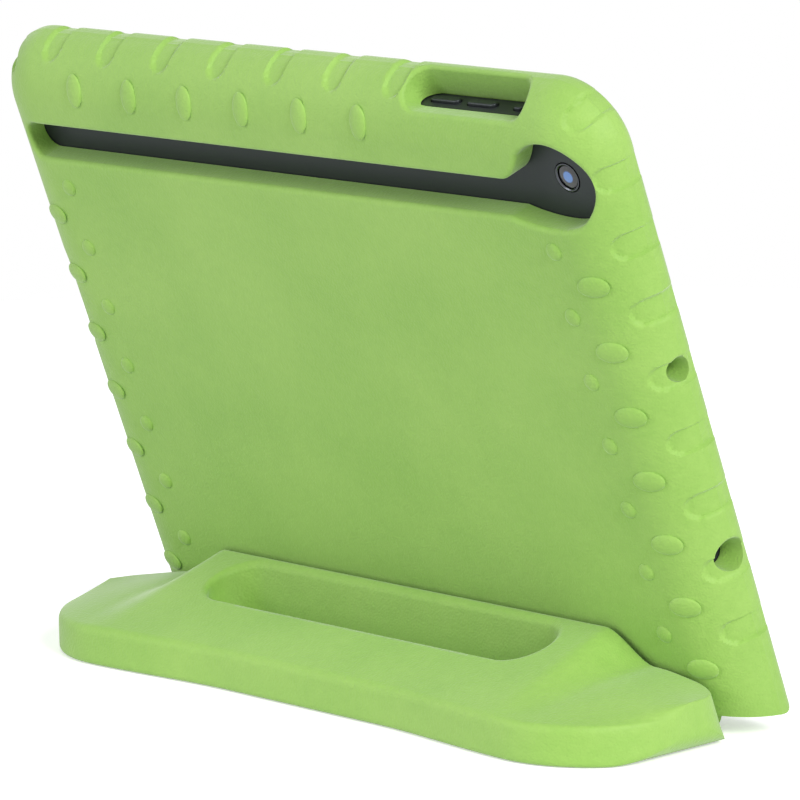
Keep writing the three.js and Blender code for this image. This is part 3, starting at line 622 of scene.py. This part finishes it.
combine(foam_case, [below_foot(), window, cutout, mic, jack, port, pocket, screen, *notches], "DIFFERENCE")
knuckle_width = KNUCKLE_OUTER - KNUCKLE_INNER
knuckles = [
    rod_along_x("knuckle", BARREL_RADIUS, x + TURNING_FIT, x + knuckle_width - TURNING_FIT, 0, AXIS_SLOPE)
    for x in (-KNUCKLE_OUTER, KNUCKLE_INNER)
]
combine(foam_case, knuckles, "UNION")
rod_bore = rod_along_x("rod_bore", BORE_RADIUS, -KNUCKLE_OUTER + 2, KNUCKLE_OUTER - 2, 0, AXIS_SLOPE)
combine(foam_case, [rod_bore], "DIFFERENCE")
finish_surface(foam_case, leaning_to_world)
report(foam_case)

# %% [markdown]
# ## The stand
# The stand is a wedge of the same foam. Its section changes along its length: a tall tongue in the
# middle leans on the case, then the top falls away in a soft S to low, round lobes at both ends.

# %% Sections of the stand
STAND_HALF_LENGTH = 121.0
STAND_REACH = 57.0
LOBE_REACH = 4.5
LOBE_START = 30.0
LOBE_FULL = 90.0
STAND_BACK_HEIGHT = 11.5
TONGUE_HALF_LENGTH = 79.0
TONGUE_HEIGHT = 28.3
SHOULDER_HEIGHT = 18.5
SHOULDER_BLEND = 15.0
STAND_END_HEIGHT = 15.0
BACK_CORNER = 34.0
FRONT_CORNER = 13.0
EDGE_SOFT = 2.4
FLOOR_EDGE_SOFT = 2.0
STAND_GAP = 1.4
FRONT_EDGE_SOFT = 1.2
LOBE_DOME = 1.3
TURN_ROOM = 3.0
END_ROUND = 8.0
END_LIFT = 6.0
SOFT_STEPS = 8
FACE_STEPS = 14


def ease(value, low, high):
    t = min(max((value - low) / (high - low), 0.0), 1.0)
    return t * t * (3 - 2 * t)


def front_height(x):
    drop = ease(x, TONGUE_HALF_LENGTH, TONGUE_HALF_LENGTH + SHOULDER_BLEND)
    end = ease(x, TONGUE_HALF_LENGTH + SHOULDER_BLEND, STAND_HALF_LENGTH)
    shoulder = TONGUE_HEIGHT - (TONGUE_HEIGHT - SHOULDER_HEIGHT) * drop
    return shoulder - (SHOULDER_HEIGHT - STAND_END_HEIGHT) * end


def corner_setback(x, radius):
    past = max(x - (STAND_HALF_LENGTH - radius), 0.0)
    return radius - math.sqrt(max(radius * radius - past * past, 0.0))


def back_reach(x):
    return STAND_REACH + LOBE_REACH * ease(x, LOBE_START, LOBE_FULL) - corner_setback(x, BACK_CORNER)


def stand_corners(x):
    """Front face near the floor, front face at the hinge, top front, top back and floor back."""
    away = abs(x)
    near = corner_setback(away, FRONT_CORNER) + STAND_GAP / math.cos(LEAN)
    past = max(away - (STAND_HALF_LENGTH - END_ROUND), 0.0) / END_ROUND
    underside = END_LIFT * (1 - math.sqrt(1 - min(past, 1.0) ** 2))
    front = front_height(away)
    back = back_reach(away)
    return (
        Vector((max(near, AXIS_Y + TURN_ROOM), underside)),
        Vector((near + HINGE_HEIGHT * math.tan(LEAN), HINGE_HEIGHT)),
        Vector((near + front * math.tan(LEAN), front)),
        Vector((back, STAND_BACK_HEIGHT)),
        Vector((back, underside)),
    )


def soft_corner(before, corner, after, reach):
    start = corner + (before - corner).normalized() * reach
    end = corner + (after - corner).normalized() * reach
    points = []
    for k in range(SOFT_STEPS + 1):
        t = k / SOFT_STEPS
        points.append((1 - t) ** 2 * start + 2 * t * (1 - t) * corner + t**2 * end)
    return points


def lobe_dome(x):
    """How far the top of a lobe swells above a straight slope."""
    return LOBE_DOME * ease(abs(x), TONGUE_HALF_LENGTH, TONGUE_HALF_LENGTH + SHOULDER_BLEND)


def stand_section(x):
    floor_front, hinge_front, top_front, top_back, floor_back = stand_corners(x)
    front = soft_corner(hinge_front, top_front, top_back, FRONT_EDGE_SOFT)
    back = soft_corner(top_front, top_back, floor_back, EDGE_SOFT)
    base = soft_corner(top_back, floor_back, floor_front, FLOOR_EDGE_SOFT)
    points = [floor_front, hinge_front, *front]
    for k in range(1, FACE_STEPS):
        share = k / FACE_STEPS
        points.append(front[-1].lerp(back[0], share) + Vector((0, lobe_dome(x) * math.sin(math.pi * share))))
    points += [*back, *base]
    points += [base[-1].lerp(floor_front, k / FACE_STEPS) for k in range(1, FACE_STEPS)]
    return np.array([(x, point.x, point.y) for point in points])


def stand_top(x, y):
    """Height of the stand's top face."""
    heights = []
    for place_x, place_y in zip(x, y):
        _, _, top_front, top_back, _ = stand_corners(place_x)
        share = (place_y - top_front.x) / (top_back.x - top_front.x)
        heights.append(top_front.y + (top_back.y - top_front.y) * share)
    return np.array(heights)


# %% Stand solid, barrel and finger hole
HOLE_HALF_LENGTH = 68.0
HOLE_WIDTH = 19.2
HOLE_FROM_FRONT = 15.5
HOLE_LIP = 2.0
STAND_STEP = 1.25
END_STEPS = 30

straight_end = STAND_HALF_LENGTH - BACK_CORNER
half = list(np.arange(0, straight_end, STAND_STEP))
for k in range(END_STEPS + 1):
    half.append(straight_end + BACK_CORNER * math.sin(k / END_STEPS * math.pi / 2))
stations = [-x for x in reversed(half[1:])] + half
stand = loft("stand_foam", [stand_section(x) for x in stations])

barrel = rod_along_x("barrel", BARREL_RADIUS, -BARREL_END, BARREL_END, AXIS_Y, HINGE_HEIGHT)
hole = mouth_cutter(
    "hole",
    stadium(HOLE_HALF_LENGTH - HOLE_WIDTH / 2, HOLE_WIDTH / 2) + (0, HOLE_FROM_FRONT + HOLE_WIDTH / 2),
    -2, 6, 0.4, HOLE_LIP, stand_top, lambda x, y, height: np.stack([x, y, height], 1),
)
hollows = [
    rod_along_x("hollow", NOTCH_RADIUS, x, x + knuckle_width, AXIS_Y, HINGE_HEIGHT)
    for x in (-KNUCKLE_OUTER, KNUCKLE_INNER)
]
bore_end = KNUCKLE_INNER + 1
stand_bore = rod_along_x("stand_bore", BORE_RADIUS, -bore_end, bore_end, AXIS_Y, HINGE_HEIGHT)
combine(stand, [barrel], "UNION")
combine(stand, [hole, *hollows, stand_bore], "DIFFERENCE")
finish_surface(stand, standing_to_world)
report(stand)

# %% [markdown]
# ## Raised ovals
# Rows of small and large ovals stand out of the foam along both sides and the top, so that small
# hands don't slip. They repeat at an even pitch, so one Geometry Nodes tree lays a line of points
# and puts a flattened ball on each. Its inputs are the count, the start, the step, the radii and
# the tilt, and each row gets its own values.

# %% Tree for a row of ovals
OVAL_SEGMENTS = 36
OVAL_RINGS = 18


def oval_tree():
    tree = bpy.data.node_groups.new("row_of_ovals", "GeometryNodeTree")
    face = tree.interface
    face.new_socket("Count", in_out="INPUT", socket_type="NodeSocketInt")
    face.new_socket("Start", in_out="INPUT", socket_type="NodeSocketVector")
    face.new_socket("Step", in_out="INPUT", socket_type="NodeSocketVector")
    face.new_socket("Radii", in_out="INPUT", socket_type="NodeSocketVector")
    face.new_socket("Tilt", in_out="INPUT", socket_type="NodeSocketVector")
    face.new_socket("Material", in_out="INPUT", socket_type="NodeSocketMaterial")
    face.new_socket("Geometry", in_out="OUTPUT", socket_type="NodeSocketGeometry")
    make = tree.nodes.new
    link = tree.links.new
    inputs = make("NodeGroupInput")
    line = make("GeometryNodeMeshLine")
    link(inputs.outputs["Count"], line.inputs["Count"])
    link(inputs.outputs["Start"], line.inputs["Start Location"])
    link(inputs.outputs["Step"], line.inputs["Offset"])
    ball = make("GeometryNodeMeshUVSphere")
    ball.inputs["Segments"].default_value = OVAL_SEGMENTS
    ball.inputs["Rings"].default_value = OVAL_RINGS
    ball.inputs["Radius"].default_value = 1.0
    place = make("GeometryNodeInstanceOnPoints")
    link(line.outputs["Mesh"], place.inputs["Points"])
    link(ball.outputs["Mesh"], place.inputs["Instance"])
    link(inputs.outputs["Tilt"], place.inputs["Rotation"])
    link(inputs.outputs["Radii"], place.inputs["Scale"])
    real = make("GeometryNodeRealizeInstances")
    link(place.outputs["Instances"], real.inputs["Geometry"])
    smooth = make("GeometryNodeSetShadeSmooth")
    link(real.outputs["Geometry"], smooth.inputs["Geometry"])
    paint = make("GeometryNodeSetMaterial")
    link(smooth.outputs["Geometry"], paint.inputs["Geometry"])
    link(inputs.outputs["Material"], paint.inputs["Material"])
    output = make("NodeGroupOutput")
    link(paint.outputs["Geometry"], output.inputs["Geometry"])
    return tree


def grown(name, tree, values):
    """Runs a tree once with the given inputs and keeps the result as a plain mesh."""
    thing = bpy.data.objects.new(name, bpy.data.meshes.new(name))
    bpy.context.scene.collection.objects.link(thing)
    modifier = thing.modifiers.new("grow", "NODES")
    modifier.node_group = tree
    for item in tree.interface.items_tree:
        if item.in_out == "INPUT":
            modifier[item.identifier] = values[item.name]
    bake_modifiers(thing)
    return thing


# %% [markdown]
# ## Finishes
# The foam has a fine closed skin: matte, a little mottled, with a grain that only shows up close.
# That grain is a node group, because the case, the stand and the ovals all share it. A second
# group gives the tablet's metal its fine blasted sparkle.

# %% Foam grain group
def node_group(name, inputs, outputs):
    group = bpy.data.node_groups.new(name, "ShaderNodeTree")
    for socket, kind, value in inputs:
        made = group.interface.new_socket(socket, in_out="INPUT", socket_type=kind)
        made.default_value = value
    for socket, kind in outputs:
        group.interface.new_socket(socket, in_out="OUTPUT", socket_type=kind)
    return group, group.nodes.new("NodeGroupInput"), group.nodes.new("NodeGroupOutput")


def foam_grain_group():
    group, inputs, output = node_group(
        "foam_grain",
        [
            ("Pores per Metre", "NodeSocketFloat", 1500.0),
            ("Light Colour", "NodeSocketColor", (1, 1, 1, 1)),
            ("Deep Colour", "NodeSocketColor", (0, 0, 0, 1)),
        ],
        [("Colour", "NodeSocketColor"), ("Roughness", "NodeSocketFloat"), ("Height", "NodeSocketFloat")],
    )
    link = group.links.new
    place = group.nodes.new("ShaderNodeTexCoord")
    pores = group.nodes.new("ShaderNodeTexVoronoi")
    pores.feature = "SMOOTH_F1"
    link(place.outputs["Object"], pores.inputs["Vector"])
    link(inputs.outputs["Pores per Metre"], pores.inputs["Scale"])
    fine = group.nodes.new("ShaderNodeTexNoise")
    fine.inputs["Scale"].default_value = 420.0
    fine.inputs["Detail"].default_value = 5.0
    link(place.outputs["Object"], fine.inputs["Vector"])
    broad = group.nodes.new("ShaderNodeTexNoise")
    broad.inputs["Scale"].default_value = 22.0
    broad.inputs["Detail"].default_value = 3.0
    link(place.outputs["Object"], broad.inputs["Vector"])
    mottle = group.nodes.new("ShaderNodeMath")
    mottle.operation = "MULTIPLY_ADD"
    mottle.inputs[1].default_value = 0.45
    link(fine.outputs["Fac"], mottle.inputs[0])
    link(broad.outputs["Fac"], mottle.inputs[2])
    share = group.nodes.new("ShaderNodeMapRange")
    share.inputs["From Min"].default_value = 0.45
    share.inputs["From Max"].default_value = 1.0
    link(mottle.outputs["Value"], share.inputs["Value"])
    blend = group.nodes.new("ShaderNodeMix")
    blend.data_type = "RGBA"
    link(share.outputs["Result"], blend.inputs["Factor"])
    link(inputs.outputs["Deep Colour"], blend.inputs["A"])
    link(inputs.outputs["Light Colour"], blend.inputs["B"])
    link(blend.outputs["Result"], output.inputs["Colour"])
    rough = group.nodes.new("ShaderNodeMapRange")
    rough.inputs["To Min"].default_value = 0.56
    rough.inputs["To Max"].default_value = 0.7
    link(fine.outputs["Fac"], rough.inputs["Value"])
    link(rough.outputs["Result"], output.inputs["Roughness"])
    height = group.nodes.new("ShaderNodeMath")
    height.operation = "MULTIPLY_ADD"
    height.inputs[1].default_value = 0.6
    link(fine.outputs["Fac"], height.inputs[0])
    link(pores.outputs["Distance"], height.inputs[2])
    link(height.outputs["Value"], output.inputs["Height"])
    return group


# %% Metal grain group
def metal_grain_group():
    group, inputs, output = node_group(
        "metal_grain",
        [
            ("Grains per Metre", "NodeSocketFloat", 3000.0),
            ("Colour", "NodeSocketColor", (1, 1, 1, 1)),
            ("Roughness", "NodeSocketFloat", 0.4),
        ],
        [("Colour", "NodeSocketColor"), ("Roughness", "NodeSocketFloat"), ("Height", "NodeSocketFloat")],
    )
    link = group.links.new
    place = group.nodes.new("ShaderNodeTexCoord")
    grain = group.nodes.new("ShaderNodeTexNoise")
    grain.inputs["Detail"].default_value = 3.0
    link(place.outputs["Object"], grain.inputs["Vector"])
    link(inputs.outputs["Grains per Metre"], grain.inputs["Scale"])
    lift = group.nodes.new("ShaderNodeMapRange")
    lift.inputs["To Min"].default_value = 0.8
    lift.inputs["To Max"].default_value = 1.2
    link(grain.outputs["Fac"], lift.inputs["Value"])
    tint = group.nodes.new("ShaderNodeVectorMath")
    tint.operation = "SCALE"
    link(inputs.outputs["Colour"], tint.inputs[0])
    link(lift.outputs["Result"], tint.inputs["Scale"])
    link(tint.outputs["Vector"], output.inputs["Colour"])
    rough = group.nodes.new("ShaderNodeMath")
    rough.operation = "MULTIPLY"
    link(inputs.outputs["Roughness"], rough.inputs[0])
    link(lift.outputs["Result"], rough.inputs[1])
    link(rough.outputs["Value"], output.inputs["Roughness"])
    link(grain.outputs["Fac"], output.inputs["Height"])
    return group


FOAM_GRAIN = foam_grain_group()
METAL_GRAIN = metal_grain_group()
print("groups:", FOAM_GRAIN.name, METAL_GRAIN.name)

# %% Materials
FOAM_LIGHT = (0.322, 0.538, 0.106, 1)
FOAM_DEEP = (0.250, 0.462, 0.074, 1)
SLATE = (0.038, 0.044, 0.048, 1)
# Painted blue reflection seen in the middle of the coated lens
PAINTED_LENS_REFLECTION = (0.10, 0.24, 0.62, 1)
LENS_DARK = (0.006, 0.007, 0.012, 1)


def grained_material(name, group, values, bump_depth, metallic=0.0):
    """Material whose colour, roughness and bump come from a grain group."""
    material = bpy.data.materials.new(name)
    material.use_nodes = True
    nodes_of = material.node_tree.nodes
    link = material.node_tree.links.new
    shader = nodes_of["Principled BSDF"]
    grain = nodes_of.new("ShaderNodeGroup")
    grain.node_tree = group
    for socket, value in values.items():
        grain.inputs[socket].default_value = value
    bump = nodes_of.new("ShaderNodeBump")
    bump.inputs["Distance"].default_value = bump_depth
    bump.inputs["Strength"].default_value = 1.0
    link(grain.outputs["Colour"], shader.inputs["Base Color"])
    link(grain.outputs["Roughness"], shader.inputs["Roughness"])
    link(grain.outputs["Height"], bump.inputs["Height"])
    link(bump.outputs["Normal"], shader.inputs["Normal"])
    shader.inputs["Metallic"].default_value = metallic
    return material, shader


green_foam, foam_shader = grained_material(
    "green_foam", FOAM_GRAIN,
    {"Pores per Metre": 1500.0, "Light Colour": FOAM_LIGHT, "Deep Colour": FOAM_DEEP}, 0.00012,
)
foam_shader.inputs["Sheen Weight"].default_value = 0.4
foam_shader.inputs["Sheen Roughness"].default_value = 0.45
slate_metal = grained_material(
    "slate_metal", METAL_GRAIN, {"Grains per Metre": 3500.0, "Colour": SLATE, "Roughness": 0.42},
    0.00001, 0.55,
)[0]
lens_metal = grained_material(
    "lens_metal", METAL_GRAIN,
    {"Grains per Metre": 5000.0, "Colour": (0.10, 0.105, 0.12, 1), "Roughness": 0.25},
    0.000004, 1.0,
)[0]
steel = grained_material(
    "steel", METAL_GRAIN,
    {"Grains per Metre": 2500.0, "Colour": (0.55, 0.55, 0.56, 1), "Roughness": 0.32},
    0.00001, 1.0,
)[0]
black_plastic = grained_material(
    "black_plastic", METAL_GRAIN,
    {"Grains per Metre": 1800.0, "Colour": (0.013, 0.013, 0.015, 1), "Roughness": 0.5},
    0.00002,
)[0]
cover_glass, glass_shader = grained_material(
    "cover_glass", METAL_GRAIN,
    {"Grains per Metre": 60.0, "Colour": (0.006, 0.007, 0.009, 1), "Roughness": 0.07},
    0.0,
)
glass_shader.inputs["Coat Weight"].default_value = 0.6
glass_shader.inputs["Coat Roughness"].default_value = 0.03

# %% Camera glass
def lens_material():
    """Lens colour by the distance from its middle: a painted blue reflection in the middle, in the lens's own
    dark surround.
    """
    material = bpy.data.materials.new("lens_glass")
    material.use_nodes = True
    nodes_of = material.node_tree.nodes
    link = material.node_tree.links.new
    shader = nodes_of["Principled BSDF"]
    place = nodes_of.new("ShaderNodeTexCoord")
    centre = Vector(leaning_to_world([(LENS_X, TABLET_BACK, LENS_Z)])[0])
    apart = nodes_of.new("ShaderNodeVectorMath")
    apart.operation = "DISTANCE"
    apart.inputs[1].default_value = centre
    link(place.outputs["Object"], apart.inputs[0])
    ramp = nodes_of.new("ShaderNodeValToRGB")
    scaled = nodes_of.new("ShaderNodeMapRange")
    scaled.inputs["From Max"].default_value = 3.4 * MM
    link(apart.outputs["Value"], scaled.inputs["Value"])
    link(scaled.outputs["Result"], ramp.inputs["Fac"])
    # The blue middle is a painted reflection of the coated lens; the dark surround is the lens's own colour.
    ramp.color_ramp.elements[0].color = PAINTED_LENS_REFLECTION
    ramp.color_ramp.elements[0].position = 0.42
    ramp.color_ramp.elements[1].color = LENS_DARK
    ramp.color_ramp.elements[1].position = 0.55
    link(ramp.outputs["Color"], shader.inputs["Base Color"])
    shader.inputs["Roughness"].default_value = 0.05
    shader.inputs["Coat Weight"].default_value = 1.0
    shader.inputs["Coat Roughness"].default_value = 0.02
    return material


lens_glass = lens_material()
print("materials:", len(bpy.data.materials))

# %% Rows of ovals
SMALL_RADII = (2.7, 2.6)
SMALL_INSET = 23.2
LARGE_RADII = (5.0, 3.1)
LARGE_INSET = 12.7
OVAL_RISE = 1.0
TOP_OVALS = 6
TOP_FIRST = 3.5 * TOP_PITCH


def flank_tilt(inside):
    angle = math.asin(max(FLANK_WIDTH - inside, 0) / FLANK_WIDTH)
    return math.atan(math.tan(angle) * FLANK_DEPTH / FLANK_WIDTH)


def oval_row(name, start, step, count, radii, tilt):
    """One row, laid in the leaning frame and carried to the world by its start, step and turn."""
    ends = leaning_to_world([start, np.add(start, step)])
    turned = Matrix.Rotation(-LEAN, 3, "X") @ tilt
    return grown(name, OVALS, {
        "Count": count,
        "Start": tuple(ends[0]),
        "Step": tuple(ends[1] - ends[0]),
        "Radii": tuple(value * MM for value in radii),
        "Tilt": tuple(turned.to_euler()),
        "Material": green_foam,
    })


def all_ovals():
    rows = []
    depth = -float(back_depth(LARGE_INSET))
    tilt = flank_tilt(LARGE_INSET)
    small_ball = (SMALL_RADII[0], OVAL_RISE, SMALL_RADII[1])
    large_ball = (LARGE_RADII[0], OVAL_RISE, LARGE_RADII[1])
    top_ball = (LARGE_RADII[1], OVAL_RISE, LARGE_RADII[0])
    for side in (-1, 1):
        small = (side * (HALF_LENGTH - SMALL_INSET), 0, FIRST_ROW)
        large = (side * (HALF_LENGTH - LARGE_INSET), depth, FIRST_ROW - SIDE_PITCH / 2)
        step = (0, 0, -SIDE_PITCH)
        rows.append(oval_row("small_ovals", small, step, len(ROWS), small_ball, Matrix.Identity(3)))
        turn = Matrix.Rotation(-side * tilt, 3, "Z")
        rows.append(oval_row("large_ovals", large, step, len(ROWS), large_ball, turn))
    top = (TOP_FIRST, depth, CASE_TOP - LARGE_INSET)
    turn = Matrix.Rotation(tilt, 3, "X")
    rows.append(oval_row("top_ovals", top, (-TOP_PITCH, 0, 0), TOP_OVALS, top_ball, turn))
    return rows


def join(name, things):
    shape = bmesh.new()
    for thing in things:
        shape.from_mesh(thing.data)
    mesh = bpy.data.meshes.new(name)
    shape.to_mesh(mesh)
    shape.free()
    joined = bpy.data.objects.new(name, mesh)
    bpy.context.scene.collection.objects.link(joined)
    for thing in things:
        bpy.data.objects.remove(thing)
    return joined


OVALS = oval_tree()
ovals = join("flank_ovals", all_ovals())
report(ovals)

# %% [markdown]
# ## Camera and keys
# The camera ring and its glass are turned parts, so each is a profile spun round the lens's axis.
# The keys are small stadium shapes with rounded tops.

# %% Turned camera parts
TURNED_STEPS = 96


def turned(name, profile, to_world):
    """Spins a closed profile of (radius, y) points round the lens's axis."""
    rings = []
    for radius, y in profile:
        angles = np.linspace(0, 2 * math.pi, TURNED_STEPS, endpoint=False)
        rings.append(np.stack([
            LENS_X + radius * np.cos(angles), np.full(TURNED_STEPS, y), LENS_Z + radius * np.sin(angles),
        ], 1))
    count = TURNED_STEPS
    faces = []
    for ring in range(len(rings)):
        after = (ring + 1) % len(rings)
        for k in range(count):
            m = (k + 1) % count
            faces.append((ring * count + k, ring * count + m, after * count + m, after * count + k))
    thing = mesh_object(name, np.concatenate(rings), faces)
    finish_surface(thing, to_world)
    return thing


RING_OUTER = 4.2
RING_INNER = 3.5
RING_TOP = TABLET_BACK + 0.25
RING_BASE = TABLET_BACK - 0.9
ring_profile = [
    (RING_INNER, RING_BASE), (RING_INNER, RING_TOP - 0.35), (RING_INNER + 0.25, RING_TOP - 0.05),
    (RING_INNER + 0.35, RING_TOP), (RING_OUTER - 0.2, RING_TOP), (RING_OUTER - 0.05, RING_TOP - 0.06),
    (RING_OUTER, RING_TOP - 0.2), (RING_OUTER, RING_BASE),
]
lens_ring = turned("lens_ring_turned", ring_profile, leaning_to_world)
GLASS_RADIUS = 3.2
GLASS_CENTRE = 0.02
GLASS_SUNK = 0.35
GLASS_DOME = 0.2
GLASS_STEPS = 8
glass_profile = [
    (GLASS_CENTRE, RING_BASE), (GLASS_RADIUS, RING_BASE), (GLASS_RADIUS, TABLET_BACK - GLASS_SUNK),
]
for k in range(1, GLASS_STEPS + 1):
    left = 1 - k / GLASS_STEPS
    height = TABLET_BACK - GLASS_SUNK + GLASS_DOME * (1 - left**2)
    glass_profile.append((max(GLASS_RADIUS * left, GLASS_CENTRE), height))
lens_disc = turned("lens_glass_turned", glass_profile, leaning_to_world)

# %% Keys
KEY_WIDTH = 2.6
KEY_ROOT = 2.2
KEY_PROUD = 0.9
KEY_ROUND = 0.45


def key(name, node):
    low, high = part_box(node)
    middle = (low.x + high.x) / 2 / MM
    length = (high.x - low.x) / MM
    rings = []
    profile = [(0.0, TABLET_TOP - KEY_ROOT), (0.0, TABLET_TOP + KEY_PROUD - KEY_ROUND)]
    for k in range(1, 7):
        angle = k / 6 * math.pi / 2
        drop = KEY_ROUND * (1 - math.sin(angle))
        profile.append((KEY_ROUND * (1 - math.cos(angle)), TABLET_TOP + KEY_PROUD - drop))
    for inset, z in profile:
        outline = stadium(length / 2 - KEY_WIDTH / 2, KEY_WIDTH / 2 - inset, 20)
        heights = np.full(len(outline), z)
        rings.append(np.stack([middle + outline[:, 0], TABLET_CORE + outline[:, 1], heights], 1))
    thing = loft(name, rings)
    finish_surface(thing, leaning_to_world)
    return thing


keys = {
    "volume_up_button": ("volume_up_key", "volume_up"),
    "volume_down_button": ("volume_down_key", "volume_down"),
    "side_switch": ("side_switch_key", "switch"),
}
for node, (name, body) in keys.items():
    thing = key(name, node)
    thing.data.materials.clear()
    thing.data.materials.append(slate_metal)
    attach(thing, body)
    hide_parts(node)

# %% [markdown]
# ## Dressing
# Each new piece rides on its body and stands for its node. The nodes whose shape is already right,
# such as the tablet's shell and its glass, stay and only get a better finish.

# %% Place every piece
def dress(thing, material, body, node=None):
    thing.data.materials.clear()
    thing.data.materials.append(material)
    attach(thing, body)
    if node:
        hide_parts(node)


dress(foam_case, green_foam, "case", "foam_case")
dress(ovals, green_foam, "case")
dress(stand, green_foam, "stand", "stand_handle")
dress(lens_ring, lens_metal, "case", "lens_ring")
dress(lens_disc, lens_glass, "case", "lens_glass")
kept_finishes = {
    "tablet_housing": slate_metal,
    "front_glass": cover_glass,
    "display_panel": black_plastic,
    "battery_pack": black_plastic,
    "jack_liner": black_plastic,
    "charging_socket": steel,
    "hinge_rod": steel,
}
for node, material in kept_finishes.items():
    nodes[node].data.materials.clear()
    nodes[node].data.materials.append(material)
print("dressed", len(kept_finishes) + 8, "pieces")

# %% [markdown]
# ## Stage and light
# A pale floor and three soft lamps: a key at the camera end, a fill behind the other end and a
# weak light overhead. The world shows white to the camera and to reflections only, and the floor
# is lifted to white for the camera, so that only the contact shadow shows.

# %% Floor
FLOOR_RADIUS = 0.75
FLOOR_GLOW = 0.45
stage_floor = loft("stage_floor", [
    np.column_stack([circle(FLOOR_RADIUS, 128), np.full(128, height)]) for height in (-0.02, -0.0002)
])
floor_material = bpy.data.materials.new("stage_floor")
floor_material.use_nodes = True
floor_shader = floor_material.node_tree.nodes["Principled BSDF"]
floor_shader.inputs["Base Color"].default_value = (0.97, 0.97, 0.97, 1)
floor_shader.inputs["Roughness"].default_value = 0.9
floor_shader.inputs["Emission Color"].default_value = (1, 1, 1, 1)
floor_rays = floor_material.node_tree.nodes.new("ShaderNodeLightPath")
floor_glow = floor_material.node_tree.nodes.new("ShaderNodeMath")
floor_glow.operation = "MULTIPLY"
floor_glow.inputs[1].default_value = FLOOR_GLOW
floor_material.node_tree.links.new(floor_rays.outputs["Is Camera Ray"], floor_glow.inputs[0])
floor_material.node_tree.links.new(floor_glow.outputs["Value"], floor_shader.inputs["Emission Strength"])
stage_floor.data.materials.append(floor_material)

# %% Lamps and world
AIM = Vector((0.0, 0.0, 0.09))


def soft_lamp(name, place, size, power):
    data = bpy.data.lights.new(name, "AREA")
    data.shape = "DISK"
    data.size = size
    data.energy = power
    lamp = bpy.data.objects.new(name, data)
    bpy.context.scene.collection.objects.link(lamp)
    lamp.location = place
    lamp.rotation_euler = (AIM - Vector(place)).to_track_quat("-Z", "Y").to_euler()


soft_lamp("key_lamp", (-2.0, 0.4, 1.2), 1.1, 45)
soft_lamp("fill_lamp", (1.0, 2.3, 0.9), 1.6, 26)
soft_lamp("top_lamp", (0.0, 0.2, 2.4), 2.2, 5)
world = bpy.data.worlds.new("world")
bpy.context.scene.world = world
world.use_nodes = True
shaders = world.node_tree.nodes
link = world.node_tree.links.new
ambient = shaders["Background"]
ambient.inputs["Color"].default_value = (0.95, 0.97, 1.0, 1)
ambient.inputs["Strength"].default_value = 0.36
white = shaders.new("ShaderNodeBackground")
white.inputs["Color"].default_value = (1, 1, 1, 1)
rays = shaders.new("ShaderNodeLightPath")
seen = shaders.new("ShaderNodeMath")
seen.operation = "MAXIMUM"
link(rays.outputs["Is Camera Ray"], seen.inputs[0])
link(rays.outputs["Is Glossy Ray"], seen.inputs[1])
seen_through = shaders.new("ShaderNodeMath")
seen_through.operation = "MAXIMUM"
link(seen.outputs["Value"], seen_through.inputs[0])
link(rays.outputs["Is Transmission Ray"], seen_through.inputs[1])
choose = shaders.new("ShaderNodeMixShader")
link(seen_through.outputs["Value"], choose.inputs["Fac"])
link(ambient.outputs["Background"], choose.inputs[1])
link(white.outputs["Background"], choose.inputs[2])
link(choose.outputs["Shader"], shaders["World Output"].inputs["Surface"])
bpy.context.scene.view_settings.view_transform = "Standard"
